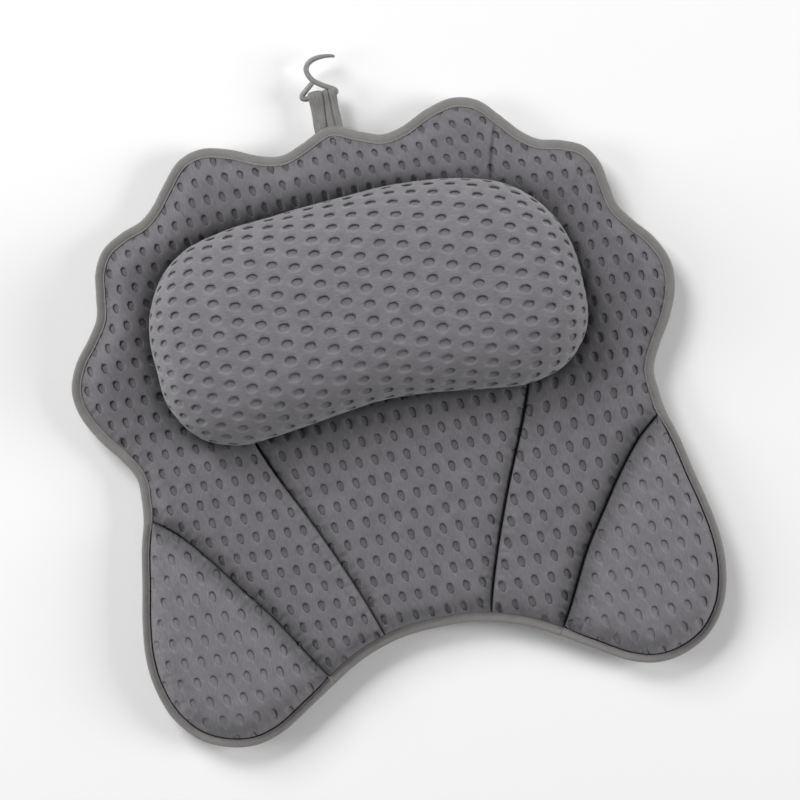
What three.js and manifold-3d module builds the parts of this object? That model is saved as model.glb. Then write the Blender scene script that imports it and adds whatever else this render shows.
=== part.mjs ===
// A bath pillow: a scalloped, quilted mat of spacer-mesh cloth with two folding wings, a padded neck pillow
// sewn to its front, six suction cups on its back, and a hook in a webbing loop at its top edge.
// Millimetres. X points to the right wing, Y to the loop, Z out of the padded front.
import * as THREE from "three";
import { mergeVertices } from "three/addons/utils/BufferGeometryUtils.js";
import Module from "manifold-3d";

const wasm = await Module();
wasm.setup();

// Clearances
const gap = 0.3; // between pieces that rest on or pass through each other
const paddingRoom = 0.5; // between a padding and the cover beside it, and half the room above it
const cutOverrun = 30; // how far a cutter runs past what it cuts

// The quilted mat
const mat = {
  width: 400,
  depth: 387.5,
  frontCloth: 4.4, // spacer mesh of the padded front
  backCloth: 2, // plain mesh of the back
  seamHeight: 3, // the front cloth where it is stitched down
  lobeRise: 19, // how far a padded lobe stands above its seams
  roll: 30, // the distance over which a lobe rises
  risePower: 2.2, // how soon it rises
  foldGap: 0.9, // left between the root and a wing along the fold seam
};
// Half outline from the top middle down the right side, as shares of half the width and half the depth
const crestShares = [
  [0, 0.986], [0.1, 0.948], [0.17, 0.924], [0.24, 0.937], [0.33, 0.979], [0.42, 1], [0.495, 0.977],
  [0.565, 0.899], [0.61, 0.843], [0.657, 0.805], [0.73, 0.781], [0.8, 0.742], [0.84, 0.677], [0.855, 0.6],
  [0.87, 0.523], [0.91, 0.461], [0.965, 0.391], [1, 0.305], [0.995, 0.221], [0.953, 0.123],
  [0.895, 0.035], [0.86, -0.037], [0.86, -0.115], [0.868, -0.182],
];
const wingShares = [
  [0.868, -0.182], [0.893, -0.272], [0.92, -0.399], [0.945, -0.51], [0.96, -0.63], [0.952, -0.74],
  [0.915, -0.855], [0.85, -0.94], [0.77, -0.985], [0.68, -1], [0.59, -0.978], [0.47, -0.908], [0.375, -0.85],
];
const hemShares = [[0.375, -0.85], [0.275, -0.794], [0.168, -0.755], [0.085, -0.739], [0, -0.736]];
// Seams between their ends, as the same shares: a wing's fold seam, and the channel beside the middle lobe
const foldSeamShares = [
  [0.765, -0.252], [0.68, -0.357], [0.608, -0.461], [0.525, -0.582], [0.475, -0.672], [0.43, -0.755],
];
const channelShares = [[0.415, -0.105], [0.32, -0.321], [0.25, -0.497], [0.2, -0.641]];

// The neck pillow
const pillow = {
  width: 284.6,
  depth: 145.5,
  centreShare: 0.3768, // of half the mat's depth, from its middle
  tuck: 9, // how far its base seam lies inside its widest line
  tuckPower: 1.15,
  waistHeight: 24, // from its base to its widest line
  sideBand: 3, // the upright band at its widest line
  crownHeight: 42, // from its widest line to its top
  crownRoll: 58, // the distance over which the crown rises
  crownRisePower: 2.3,
  crownRoundPower: 0.55,
  cloth: 2.4,
  fillRoom: 1.1, // between the filling and the cloth beside it, and half the room above and below it
  baseHem: 7, // the turned-in cloth that is sewn to the mat
};
// Half outline of its widest line, from the top middle down the right side, as shares of its half sizes
const beanShares = [
  [0, 1], [0.176, 1], [0.316, 0.979], [0.562, 0.911], [0.738, 0.808], [0.864, 0.629], [0.949, 0.381],
  [0.99, 0.134], [1, -0.182], [0.986, -0.512], [0.928, -0.74], [0.829, -0.911], [0.668, -1], [0.517, -0.979],
  [0.351, -0.93], [0.176, -0.891], [0, -0.874],
];
const beanTopIndex = 4; // the outline points where its ends begin and end
const beanLowIndex = 11;
const seatIndex = 12; // the outline point where a channel comes out from under it

// The binding tape round the edge
const binding = { width: 6, skin: 1.3, edgeRound: 1.6 };

// Suction cups, and the eyelets that hold them in the back cloth
const cup = {
  rimRadius: 27.5,
  rimFlat: 3,
  rimHeight: 1.1,
  hollowDepth: 4.6,
  innerBulgeShare: 0.72, // of the hollow's depth, half-way to the rim
  outerBulgeShare: 0.45, // of the cup's height, half-way from the hub to the rim
  hubRadius: 9,
  height: 9,
  neckRadius: 5,
  headRadius: 7.6,
  headHeight: 3.4,
  headRound: 1.2,
  tabReach: 8,
  tabWidth: 11,
};
const eyelet = { flangeRadius: 10, flange: 1.2, barrelWall: 1.4, clothRoom: 0.4 };
const pocketRoom = 1; // in the padding, round an eyelet and a cup's head
const cupPlaceShares = { upper: [0.45, 0.82], side: [0.68, -0.015], wing: [0.7, -0.724] };

// The webbing loop and the hook that swings in it
const loop = { width: 18.6, middleX: -1.6, tape: 1.15, reach: 20, closing: 8, rootGap: 0.45 };
const hook = { wireRadius: 1.75, eyeWidth: 24.9, height: 26.8, middleX: -2 };
// The hook's wire from its tip to the bar's right end, and from there back to its neck, from the bar's middle
const hookArmShares = [
  [0.57, 0.929], [0.361, 0.981], [0.149, 1], [-0.08, 0.914], [-0.225, 0.76], [-0.225, 0.57], [-0.13, 0.42],
  [0.03, 0.335], [0.25, 0.25], [0.42, 0.19], [0.5, 0.115], [0.5, 0.045], [0.44, 0], [0.38, 0], [0.3, 0],
];
const hookEyeShares = [
  [0.36, 0], [0.3, 0], [-0.3, 0], [-0.42, 0], [-0.5, 0.04], [-0.49, 0.115], [-0.36, 0.21], [-0.05, 0.4],
];

// Heights above the plane of the cup rims
const eyeletFloor = cup.height + gap;
const backFloor = eyeletFloor + eyelet.flange + gap;
const backTop = backFloor + mat.backCloth;
const eyeletTop = backTop + gap + eyelet.flange;
const frontFloor = backTop + gap;
const seamTop = frontFloor + mat.seamHeight;
const bindingFloor = backFloor - gap - binding.skin;
const bindingTop = seamTop + gap + binding.skin;
const edgeMiddle = (bindingFloor + bindingTop) / 2;
const headFloor = eyeletTop + gap;
const headTop = headFloor + cup.headHeight;
const pillowBase = seamTop + gap;
const pillowWaist = pillowBase + pillow.waistHeight;
const belowAll = -cutOverrun;
const aboveAll = pillowWaist + pillow.crownHeight + cutOverrun;

// How finely the shapes are divided
const seamShares = [0, 0.1, 0.26, 0.45, 0.64, 0.81, 0.93, 1];
const turnSteps = 14;
const wireArcSteps = 4; // for each half of a wire's round
const armSteps = 26;
const eyeSteps = 16;
const bendArcSteps = 6; // for each half of the webbing's bend
const lobeShares = [0, 0.08, 0.22, 0.45, 0.7, 0.9, 1];
const paddingShares = [0, 0.15, 0.5, 0.85, 1];
const crownAlongShares = [
  0, 0.012, 0.035, 0.075, 0.14, 0.23, 0.36, 0.5, 0.64, 0.77, 0.86, 0.925, 0.965, 0.988, 1,
];
const crownAcrossShares = [0, 0.025, 0.07, 0.14, 0.25, 0.4, 0.6, 0.75, 0.86, 0.93, 0.975, 1];
const fillShares = [0, 0.05, 0.13, 0.27, 0.5, 0.73, 0.87, 0.95, 1];

const materials = {
  mesh: new THREE.MeshStandardMaterial({ color: 0x6c6a6e, roughness: 0.92, metalness: 0 }),
  pillowMesh: new THREE.MeshStandardMaterial({ color: 0x7d7b80, roughness: 0.9, metalness: 0 }),
  backMesh: new THREE.MeshStandardMaterial({ color: 0x626064, roughness: 0.95, metalness: 0 }),
  tape: new THREE.MeshStandardMaterial({ color: 0x8a8785, roughness: 0.85, metalness: 0 }),
  foam: new THREE.MeshStandardMaterial({ color: 0xe4e2dc, roughness: 1, metalness: 0 }),
  hookPlastic: new THREE.MeshStandardMaterial({ color: 0x7c7c7a, roughness: 0.45, metalness: 0 }),
  eyeletPlastic: new THREE.MeshStandardMaterial({ color: 0x4c4b4e, roughness: 0.5, metalness: 0 }),
  cupRubber: new THREE.MeshStandardMaterial({ color: 0xb9bcc0, roughness: 0.25, metalness: 0 }),
};

// Plan geometry

function planPoint(x, y) {
  return new THREE.Vector2(x, y);
}

function fromShares(shares, width, depth, middleY = 0) {
  return shares.map(([x, y]) => planPoint((x * width) / 2, (y * depth) / 2 + middleY));
}

function mirrored(points) {
  return points.map((p) => planPoint(-p.x, p.y)).reverse();
}

// A line across the middle, from its right half, which starts or ends on the middle
function acrossMiddle(rightHalf) {
  const fromMiddle = Math.abs(rightHalf[0].x) < Math.abs(rightHalf.at(-1).x);
  const [first, second] = fromMiddle ? [mirrored(rightHalf), rightHalf] : [rightHalf, mirrored(rightHalf)];
  return [...first, ...second.slice(1)];
}

function closedOutline(rightHalf) {
  return [...rightHalf, ...mirrored(rightHalf).slice(1, -1)];
}

// Points at the given shares of the length of a smooth curve through some points
function along(points, shares) {
  const through = points.map((p) => new THREE.Vector3(p.x, p.y, 0));
  const curve = new THREE.CatmullRomCurve3(through, false, "centripetal");
  return shares.map((share) => curve.getPointAt(share)).map((p) => planPoint(p.x, p.y));
}

function evenShares(count) {
  return Array.from({ length: count + 1 }, (_, i) => i / count);
}

function rightNormal(from, to) {
  const way = to.clone().sub(from).normalize();
  return planPoint(way.y, -way.x);
}

// A closed outline moved inwards, mitred at its points
function inset(outline, distance) {
  const turn = THREE.ShapeUtils.isClockWise(outline) ? 1 : -1;
  return outline.map((p, i) => {
    const before = rightNormal(outline.at(i - 1), p);
    const after = rightNormal(p, outline[(i + 1) % outline.length]);
    const middle = before.add(after).normalize();
    return p.clone().addScaledVector(middle, (turn * distance) / middle.dot(after));
  });
}

function distanceToOutline(outline, p) {
  let best = Infinity;
  outline.forEach((from, i) => {
    const side = outline[(i + 1) % outline.length].clone().sub(from);
    const t = THREE.MathUtils.clamp(p.clone().sub(from).dot(side) / side.lengthSq(), 0, 1);
    best = Math.min(best, p.distanceTo(from.clone().addScaledVector(side, t)));
  });
  return best;
}

// A patch is a plan area between four edges. Low and high run the same way; start and end join low to high.

function patchOutline(patch) {
  const edges = [patch.start, patch.high, [...patch.end].reverse(), [...patch.low].reverse()];
  return edges.flatMap((edge) => edge.slice(0, -1));
}

function patchMovedIn(patch, distance) {
  const moved = inset(patchOutline(patch), distance);
  const corners = [0, patch.start.length - 1];
  corners.push(corners[1] + patch.high.length - 1);
  corners.push(corners[2] + patch.end.length - 1);
  const edge = (from, to) => [...moved.slice(from, to), moved[to % moved.length]];
  return {
    start: edge(corners[0], corners[1]),
    high: edge(corners[1], corners[2]),
    end: edge(corners[2], corners[3]).reverse(),
    low: edge(corners[3], moved.length).reverse(),
  };
}

// The patch as a grid of points, with its rows at the given shares of the way from low to high
function patchGrid({ start, high, end, low }, acrossShares, alongShares) {
  const lowPoints = alongShares ? along(low, alongShares) : low;
  const highPoints = alongShares ? along(high, alongShares) : high;
  const startPoints = along(start, acrossShares);
  const endPoints = along(end, acrossShares);
  const steps = alongShares ?? evenShares(low.length - 1);
  return acrossShares.map((v, j) =>
    steps.map((u, i) => {
      const ruled = lowPoints[i].clone().lerp(highPoints[i], v);
      const sides = startPoints[j].clone().lerp(endPoints[j], u);
      const firstCorner = low[0].clone().lerp(high[0], v);
      const lastCorner = low.at(-1).clone().lerp(high.at(-1), v);
      return ruled.add(sides).sub(firstCorner.lerp(lastCorner, u));
    }),
  );
}

// Solids

function signedVolume(position, index) {
  const [a, b, c] = [new THREE.Vector3(), new THREE.Vector3(), new THREE.Vector3()];
  let sum = 0;
  for (let i = 0; i < index.length; i += 3) {
    [a, b, c].forEach((corner, k) => corner.fromBufferAttribute(position, index[i + k]));
    sum += a.dot(b.cross(c));
  }
  return sum;
}

// A solid from a closed geometry, without the collapsed triangles of its poles and with its faces outwards
function solidOf(geometry) {
  const bare = new THREE.BufferGeometry();
  bare.setAttribute("position", geometry.attributes.position);
  if (geometry.index) bare.setIndex(geometry.index);
  const merged = mergeVertices(bare);
  const index = [];
  for (let i = 0; i < merged.index.count; i += 3) {
    const [a, b, c] = [0, 1, 2].map((k) => merged.index.getX(i + k));
    if (a !== b && b !== c && a !== c) index.push(a, b, c);
  }
  if (signedVolume(merged.attributes.position, index) < 0) index.reverse();
  const vertProperties = new Float32Array(merged.attributes.position.array);
  return new wasm.Manifold(new wasm.Mesh({ numProp: 3, vertProperties, triVerts: new Uint32Array(index) }));
}

function joined(solids) {
  return solids.reduce((sum, solid) => sum.add(solid));
}

function without(solid, cutters) {
  return cutters.reduce((rest, cutter) => rest.subtract(cutter), solid);
}

function geometryOf(solid) {
  const mesh = solid.getMesh();
  const geometry = new THREE.BufferGeometry();
  geometry.setAttribute("position", new THREE.BufferAttribute(new Float32Array(mesh.vertProperties), 3));
  geometry.setIndex(new THREE.BufferAttribute(new Uint32Array(mesh.triVerts), 1));
  geometry.computeVertexNormals();
  return geometry;
}

function piece(name, solid, material) {
  const mesh = new THREE.Mesh(geometryOf(solid), material.clone());
  mesh.name = name;
  return mesh;
}

// The rim of a grid of points, once round
function gridRim(grid) {
  const end = grid[0].length - 1;
  const right = grid.slice(1, -1).map((row) => row[end]);
  const left = grid.slice(1, -1).map((row) => row[0]);
  return [...grid[0], ...right, ...[...grid.at(-1)].reverse(), ...left.reverse()];
}

// Two triangles on four corners, folded along the diagonal that lies further towards the given side
function foldedCell([a, b, c, d], side) {
  const alongFirst = side * (a.z + c.z - b.z - d.z) >= 0;
  return alongFirst ? [a, b, c, a, c, d] : [b, c, d, b, d, a];
}

// A closed solid over a plan grid, between the heights that topAt and bottomAt give for a plan point
function solidOverGrid(grid, topAt, bottomAt) {
  const corners = [];
  const lift = (p, heightAt) => new THREE.Vector3(p.x, p.y, heightAt(p));
  for (let j = 1; j < grid.length; j++) {
    for (let i = 1; i < grid[0].length; i++) {
      const cell = [grid[j - 1][i - 1], grid[j - 1][i], grid[j][i], grid[j][i - 1]];
      corners.push(...foldedCell(cell.map((p) => lift(p, topAt)), 1));
      corners.push(...foldedCell(cell.reverse().map((p) => lift(p, bottomAt)), -1));
    }
  }
  const rim = gridRim(grid);
  rim.forEach((p, i) => {
    const next = rim[(i + 1) % rim.length];
    corners.push(lift(p, bottomAt), lift(next, bottomAt), lift(next, topAt));
    corners.push(lift(p, bottomAt), lift(next, topAt), lift(p, topAt));
  });
  return solidOf(new THREE.BufferGeometry().setFromPoints(corners));
}

// An upright prism over a plan outline
function prism(outline, floor, ceiling) {
  const geometry = new THREE.ExtrudeGeometry(new THREE.Shape(outline), {
    depth: ceiling - floor,
    bevelEnabled: false,
  });
  return solidOf(geometry.translate(0, 0, floor));
}

// A body turned about the upright axis, from the radii and heights of its profile
function turned(profile) {
  const points = profile.map(([radius, height]) => planPoint(radius, height));
  if (points[0].x > 0) points.push(points[0].clone());
  return solidOf(new THREE.LatheGeometry(points, turnSteps).rotateX(Math.PI / 2));
}

function disc(place, radius, floor, ceiling) {
  const geometry = new THREE.CylinderGeometry(radius, radius, ceiling - floor, turnSteps);
  geometry.rotateX(Math.PI / 2).translate(place.x, place.y, (floor + ceiling) / 2);
  return solidOf(geometry);
}

// The mat's lines, which every piece follows

const onMat = (shares) => fromShares(shares, mat.width, mat.depth);
const waistIndex = crestShares.length - 1;
const cornerIndex = waistIndex + wingShares.length - 1;
const footIndex = cornerIndex + 2;
const hemIndex = cornerIndex + hemShares.length - 1;
const halfEdge = [...onMat(crestShares), ...onMat(wingShares).slice(1), ...onMat(hemShares).slice(1)];
const edge = closedOutline(halfEdge);
const clothEdge = inset(edge, binding.skin + gap);
const lobeEdge = inset(edge, binding.width + gap);

const pillowCentreY = (pillow.centreShare * mat.depth) / 2;
const bean = closedOutline(fromShares(beanShares, pillow.width, pillow.depth, pillowCentreY));
const baseSeam = inset(bean, pillow.tuck);
const seatSide = along(baseSeam.slice(0, seatIndex + 1), evenShares(waistIndex));
const seatFront = baseSeam.slice(seatIndex, beanShares.length);

const foldSeam = along(
  [lobeEdge[waistIndex], ...onMat(foldSeamShares), lobeEdge[cornerIndex]],
  seamShares,
);
const channel = along([seatSide.at(-1), ...onMat(channelShares), lobeEdge[footIndex]], seamShares);

// The lobes between the seams, each as a patch

function collarPatch() {
  const outerSide = [...lobeEdge.slice(0, waistIndex), ...foldSeam];
  const innerSide = [...seatSide.slice(0, -1), ...channel];
  const hem = lobeEdge.slice(cornerIndex, footIndex + 1).reverse();
  return {
    low: acrossMiddle(innerSide),
    high: acrossMiddle(outerSide),
    start: mirrored(hem).reverse(),
    end: hem,
  };
}

function middlePatch() {
  const upwards = [...channel].reverse();
  return {
    low: mirrored(channel),
    high: upwards,
    start: acrossMiddle([...lobeEdge.slice(footIndex, hemIndex + 1)].reverse()),
    end: acrossMiddle([...seatFront].reverse()),
  };
}

// A wing's patch stops short of the narrow tips, which the binding covers
function wingPatch() {
  const outer = lobeEdge.slice(waistIndex + 1, cornerIndex);
  const inner = along(foldSeam, evenShares(outer.length + 1)).slice(1, -1);
  return { low: inner, high: outer, start: [inner[0], outer[0]], end: [inner.at(-1), outer.at(-1)] };
}

function mirroredPatch(patch) {
  const flip = (points) => points.map((p) => planPoint(-p.x, p.y));
  return { low: flip(patch.low), high: flip(patch.high), start: flip(patch.start), end: flip(patch.end) };
}

// The height of a lobe's front face: it rises in a roll from every edge of its patch
function lobeHeight(patch, lower) {
  const outline = patchOutline(patch);
  return (p) => {
    const share = Math.min(distanceToOutline(outline, p) / mat.roll, 1);
    return seamTop + mat.lobeRise * (1 - (1 - share) ** mat.risePower) - lower;
  };
}

function lobeSolid(patch) {
  const floor = seamTop - mat.seamHeight / 2;
  return solidOverGrid(patchGrid(patch, lobeShares), lobeHeight(patch, 0), () => floor);
}

const paddingInset = mat.frontCloth + mat.foldGap / 2;

// The hollow that a lobe's padding fills, open to the back, or the padding itself with its clearance
function hollowSolid(patch, clearance, floor) {
  const inside = patchMovedIn(patch, paddingInset + clearance);
  const ceiling = lobeHeight(patch, mat.frontCloth + 2 * clearance);
  return solidOverGrid(patchGrid(inside, paddingShares), ceiling, () => floor);
}

const patches = {
  collar: collarPatch(),
  middle: middlePatch(),
  right: wingPatch(),
  left: mirroredPatch(wingPatch()),
};

// The plan of one wing's side of the fold seam, moved a distance towards the wing and run out past the mat
function wingSide(side, distance) {
  const overrun = 2 * binding.width;
  const beyond = (from, to) => to.clone().addScaledVector(to.clone().sub(from).normalize(), overrun);
  const line = [beyond(foldSeam[1], foldSeam[0]), ...foldSeam, beyond(foldSeam.at(-2), foldSeam.at(-1))];
  const moved = line.map((p, i) => {
    const normal = rightNormal(line[Math.max(i - 1, 0)], line[Math.min(i + 1, line.length - 1)]);
    return p.clone().addScaledVector(normal, -distance);
  });
  const far = mat.width;
  const plan = [...moved, planPoint(moved.at(-1).x, -far), planPoint(far, -far), planPoint(far, moved[0].y)];
  return prism(side > 0 ? plan : mirrored(plan), belowAll, aboveAll);
}

const sides = { left: -1, right: 1 };

function rootOf(whole) {
  return without(whole, Object.values(sides).map((side) => wingSide(side, -mat.foldGap / 2)));
}

function wingOf(whole, side) {
  return whole.intersect(wingSide(side, mat.foldGap / 2));
}

// Suction cups and eyelets

function cupPlaces() {
  const places = [];
  Object.entries(cupPlaceShares).forEach(([row, share]) => {
    const [right] = onMat([share]);
    places.push({ name: `${row}_left`, row, side: "left", at: planPoint(-right.x, right.y) });
    places.push({ name: `${row}_right`, row, side: "right", at: right });
  });
  return places;
}

const places = cupPlaces();
const boreRadius = cup.neckRadius + gap;
const barrelRadius = boreRadius + eyelet.barrelWall;

function cupSolid() {
  const middleRadius = (cup.rimRadius + cup.hubRadius) / 2;
  const body = turned([
    [0, cup.hollowDepth],
    [cup.rimRadius / 2, cup.hollowDepth * cup.innerBulgeShare],
    [cup.rimRadius - cup.rimFlat, 0],
    [cup.rimRadius, 0],
    [cup.rimRadius, cup.rimHeight],
    [middleRadius, cup.height * cup.outerBulgeShare],
    [cup.hubRadius, cup.height],
    [cup.neckRadius, cup.height],
    [cup.neckRadius, headFloor],
    [cup.headRadius, headFloor],
    [cup.headRadius, headTop - cup.headRound],
    [cup.headRadius - cup.headRound, headTop],
    [0, headTop],
  ]);
  const tip = cup.rimRadius + cup.tabReach;
  const inner = cup.rimRadius - cup.rimFlat;
  const half = cup.tabWidth / 2;
  const tab = [
    planPoint(inner, -half),
    planPoint(tip - half / 2, -half),
    planPoint(tip, -half / 2),
    planPoint(tip, half / 2),
    planPoint(tip - half / 2, half),
    planPoint(inner, half),
  ];
  return body.add(prism(tab, cup.rimHeight / 4, cup.rimHeight));
}

function eyeletSolid() {
  const clothRadius = barrelRadius;
  return turned([
    [boreRadius, eyeletFloor],
    [eyelet.flangeRadius, eyeletFloor],
    [eyelet.flangeRadius, eyeletFloor + eyelet.flange],
    [clothRadius, eyeletFloor + eyelet.flange],
    [clothRadius, backTop + gap],
    [eyelet.flangeRadius, backTop + gap],
    [eyelet.flangeRadius, eyeletTop],
    [boreRadius, eyeletTop],
  ]);
}

function cupsAndEyelets(side, rows) {
  const wanted = places.filter((place) => (!side || place.side === side) && rows.includes(place.row));
  return wanted.flatMap((place) => {
    const suction = piece(`suction_cup_${place.name}`, cupSolid(), materials.cupRubber);
    suction.position.set(place.at.x, place.at.y, 0);
    suction.rotation.z = Math.atan2(-place.at.y, -place.at.x);
    const ring = piece(`eyelet_${place.name}`, eyeletSolid(), materials.eyeletPlastic);
    ring.position.set(place.at.x, place.at.y, 0);
    return [suction, ring];
  });
}

// The cloth covers and their padding

function wholeFront() {
  const plate = prism(clothEdge, frontFloor, seamTop);
  const lobes = Object.values(patches).map(lobeSolid);
  const hollows = Object.values(patches).map((patch) => hollowSolid(patch, 0, belowAll));
  return without(joined([plate, ...lobes]), hollows);
}

function wholeBack() {
  const sheet = prism(clothEdge, backFloor, backTop);
  const holes = places.map((place) => disc(place.at, barrelRadius + eyelet.clothRoom, belowAll, aboveAll));
  return without(sheet, holes);
}

function padding(patch) {
  const pockets = places.map((place) => {
    const radius = eyelet.flangeRadius + pocketRoom;
    return disc(place.at, radius, belowAll, headTop + pocketRoom);
  });
  return without(hollowSolid(patch, paddingRoom, frontFloor), pockets);
}

// The binding tape: a channel-shaped section carried round the whole edge
function wholeBinding() {
  const { width, skin, edgeRound } = binding;
  const section = [
    [width, bindingFloor],
    [edgeRound, bindingFloor],
    [0, bindingFloor + edgeRound],
    [0, bindingTop - edgeRound],
    [edgeRound, bindingTop],
    [width, bindingTop],
    [width, bindingTop - skin],
    [skin, bindingTop - skin],
    [skin, bindingFloor + skin],
    [width, bindingFloor + skin],
  ];
  const rings = section.map(([inward, height]) =>
    inset(edge, inward).map((p) => new THREE.Vector3(p.x, p.y, height)),
  );
  const corners = [];
  rings.forEach((ring, k) => {
    const nextRing = rings[(k + 1) % rings.length];
    ring.forEach((a, i) => {
      const j = (i + 1) % ring.length;
      corners.push(a, ring[j], nextRing[j], a, nextRing[j], nextRing[i]);
    });
  });
  return solidOf(new THREE.BufferGeometry().setFromPoints(corners));
}

// The neck pillow

function beanPatch(outline) {
  const last = outline.length;
  const at = (index) => outline[(index + last) % last];
  const run = (from, to) => Array.from({ length: to - from + 1 }, (_, i) => at(from + i));
  const bottomLeft = last - beanLowIndex;
  return {
    low: run(beanLowIndex, bottomLeft).reverse(),
    high: run(-beanTopIndex, beanTopIndex),
    start: run(bottomLeft, last - beanTopIndex),
    end: run(beanTopIndex, beanLowIndex).reverse(),
  };
}

function pillowTop(p) {
  const share = Math.min(distanceToOutline(bean, p) / pillow.crownRoll, 1);
  const rise = pillow.crownHeight - pillow.sideBand / 2;
  const rounded = (1 - (1 - share) ** pillow.crownRisePower) ** pillow.crownRoundPower;
  return pillowWaist + pillow.sideBand / 2 + rise * rounded;
}

function pillowUnderside(p, tuck) {
  const share = Math.min(distanceToOutline(bean, p) / tuck, 1);
  return pillowBase + (pillow.waistHeight - pillow.sideBand / 2) * (1 - share) ** pillow.tuckPower;
}

// The pillow's form moved inwards, flattened from above and below, and with more of its edge drawn in
function pillowSolid(inward, flatter, moreTuck, acrossShares) {
  const grid = patchGrid(beanPatch(inset(bean, inward)), acrossShares, crownAlongShares);
  const tuck = pillow.tuck + moreTuck;
  return solidOverGrid(grid, (p) => pillowTop(p) - flatter, (p) => pillowUnderside(p, tuck) + flatter);
}

function pillowPieces() {
  const { cloth, fillRoom, tuck, baseHem } = pillow;
  const outer = pillowSolid(0, 0, 0, crownAcrossShares);
  const hollow = pillowSolid(cloth, cloth, cloth / 2, fillShares);
  const mouth = prism(inset(bean, tuck + baseHem), belowAll, pillowBase + 2 * cloth);
  const cover = without(outer, [hollow, mouth]);
  const fill = pillowSolid(cloth + fillRoom, cloth + 2 * fillRoom, 2 * cloth, fillShares);
  return [piece("pillow_cover", cover, materials.pillowMesh), piece("pillow_fill", fill, materials.foam)];
}

// The hanging loop and its hook

const barY = edge[0].y + loop.rootGap + loop.tape + loop.reach;

function hangingLoop() {
  const outerRadius = hook.wireRadius + gap + loop.tape;
  const bend = new THREE.Shape();
  bend.absarc(0, 0, outerRadius, -Math.PI / 2, Math.PI / 2);
  bend.lineTo(-loop.closing, loop.tape);
  bend.lineTo(-loop.reach, loop.tape);
  bend.absarc(-loop.reach, 0, loop.tape, Math.PI / 2, (3 * Math.PI) / 2);
  bend.lineTo(-loop.closing, -loop.tape);
  const barHole = new THREE.Path().absarc(0, 0, hook.wireRadius + gap, 0, 2 * Math.PI);
  bend.holes.push(barHole);
  const geometry = new THREE.ExtrudeGeometry(bend, {
    depth: loop.width,
    bevelEnabled: false,
    curveSegments: bendArcSteps,
  });
  const turn = new THREE.Matrix4().makeBasis(
    new THREE.Vector3(0, 1, 0),
    new THREE.Vector3(0, 0, 1),
    new THREE.Vector3(1, 0, 0),
  );
  geometry.applyMatrix4(turn).translate(loop.middleX - loop.width / 2, barY, edgeMiddle);
  return piece("hanging_loop", solidOf(geometry), materials.tape);
}

function wire(shares, steps) {
  const points = shares.map(([x, y]) => {
    const [right, up] = [x * hook.eyeWidth, y * hook.height];
    return new THREE.Vector3(hook.middleX + right, barY + up, edgeMiddle);
  });
  const round = new THREE.Shape().absarc(0, 0, hook.wireRadius, 0, 2 * Math.PI);
  const geometry = new THREE.ExtrudeGeometry(round, {
    steps,
    curveSegments: wireArcSteps,
    extrudePath: new THREE.CatmullRomCurve3(points, false, "centripetal"),
  });
  return solidOf(geometry);
}

function hangingHook() {
  const whole = wire(hookArmShares, armSteps).add(wire(hookEyeShares, eyeSteps));
  return piece("hook", whole, materials.hookPlastic);
}

// The assembly

// The plan of the hem between the two wings
function hemPlan() {
  const reach = Math.abs(foldSeam.at(-1).x) + 2 * binding.width;
  const top = foldSeam[Math.floor(foldSeam.length / 2)].y;
  const low = -mat.depth;
  return [planPoint(-reach, top), planPoint(reach, top), planPoint(reach, low), planPoint(-reach, low)];
}

function rootPieces(front, back, tape) {
  const rootTape = rootOf(tape);
  const hem = prism(hemPlan(), belowAll, aboveAll);
  return [
    piece("front_cover", rootOf(front), materials.mesh),
    piece("back_cover", rootOf(back), materials.backMesh),
    piece("collar_padding", padding(patches.collar), materials.foam),
    piece("middle_padding", padding(patches.middle), materials.foam),
    piece("crest_binding", rootTape.subtract(hem), materials.tape),
    piece("hem_binding", rootTape.intersect(hem), materials.tape),
  ];
}

function wingPieces(name, front, back, tape) {
  const side = sides[name];
  return [
    piece(`${name}_wing_cover`, wingOf(front, side), materials.mesh),
    piece(`${name}_wing_back`, wingOf(back, side), materials.backMesh),
    piece(`${name}_wing_padding`, padding(patches[name]), materials.foam),
    piece(`${name}_wing_binding`, wingOf(tape, side), materials.tape),
    ...cupsAndEyelets(name, ["wing"]),
  ];
}

function bathPillow() {
  const [front, back, tape] = [wholeFront(), wholeBack(), wholeBinding()];
  const model = new THREE.Group();
  model.add(...rootPieces(front, back, tape), ...pillowPieces(), ...cupsAndEyelets(null, ["upper", "side"]));
  Object.keys(sides).forEach((name) => model.add(...wingPieces(name, front, back, tape)));
  model.add(hangingLoop(), hangingHook());
  const box = new THREE.Box3().setFromObject(model);
  const middle = box.getCenter(new THREE.Vector3());
  model.position.set(-middle.x, -middle.y, -box.min.z);
  return model;
}

const group = bathPillow();
export default group;
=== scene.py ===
"""A bath pillow, dressed over its CAD frame: a quilted mat of spacer mesh with two folding wings, a neck pillow,
binding tape, suction cups, and a hook in a webbing loop. Sizes are in millimetres until a mesh is made, and cloth
coordinates too, which the meshes keep in units of UV_UNIT millimetres."""

import logging
import math
from dataclasses import dataclass, field
from enum import Enum
from typing import ClassVar, Optional, Sequence

import bmesh
import bpy
import numpy as np
from mathutils import Matrix, Vector


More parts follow.
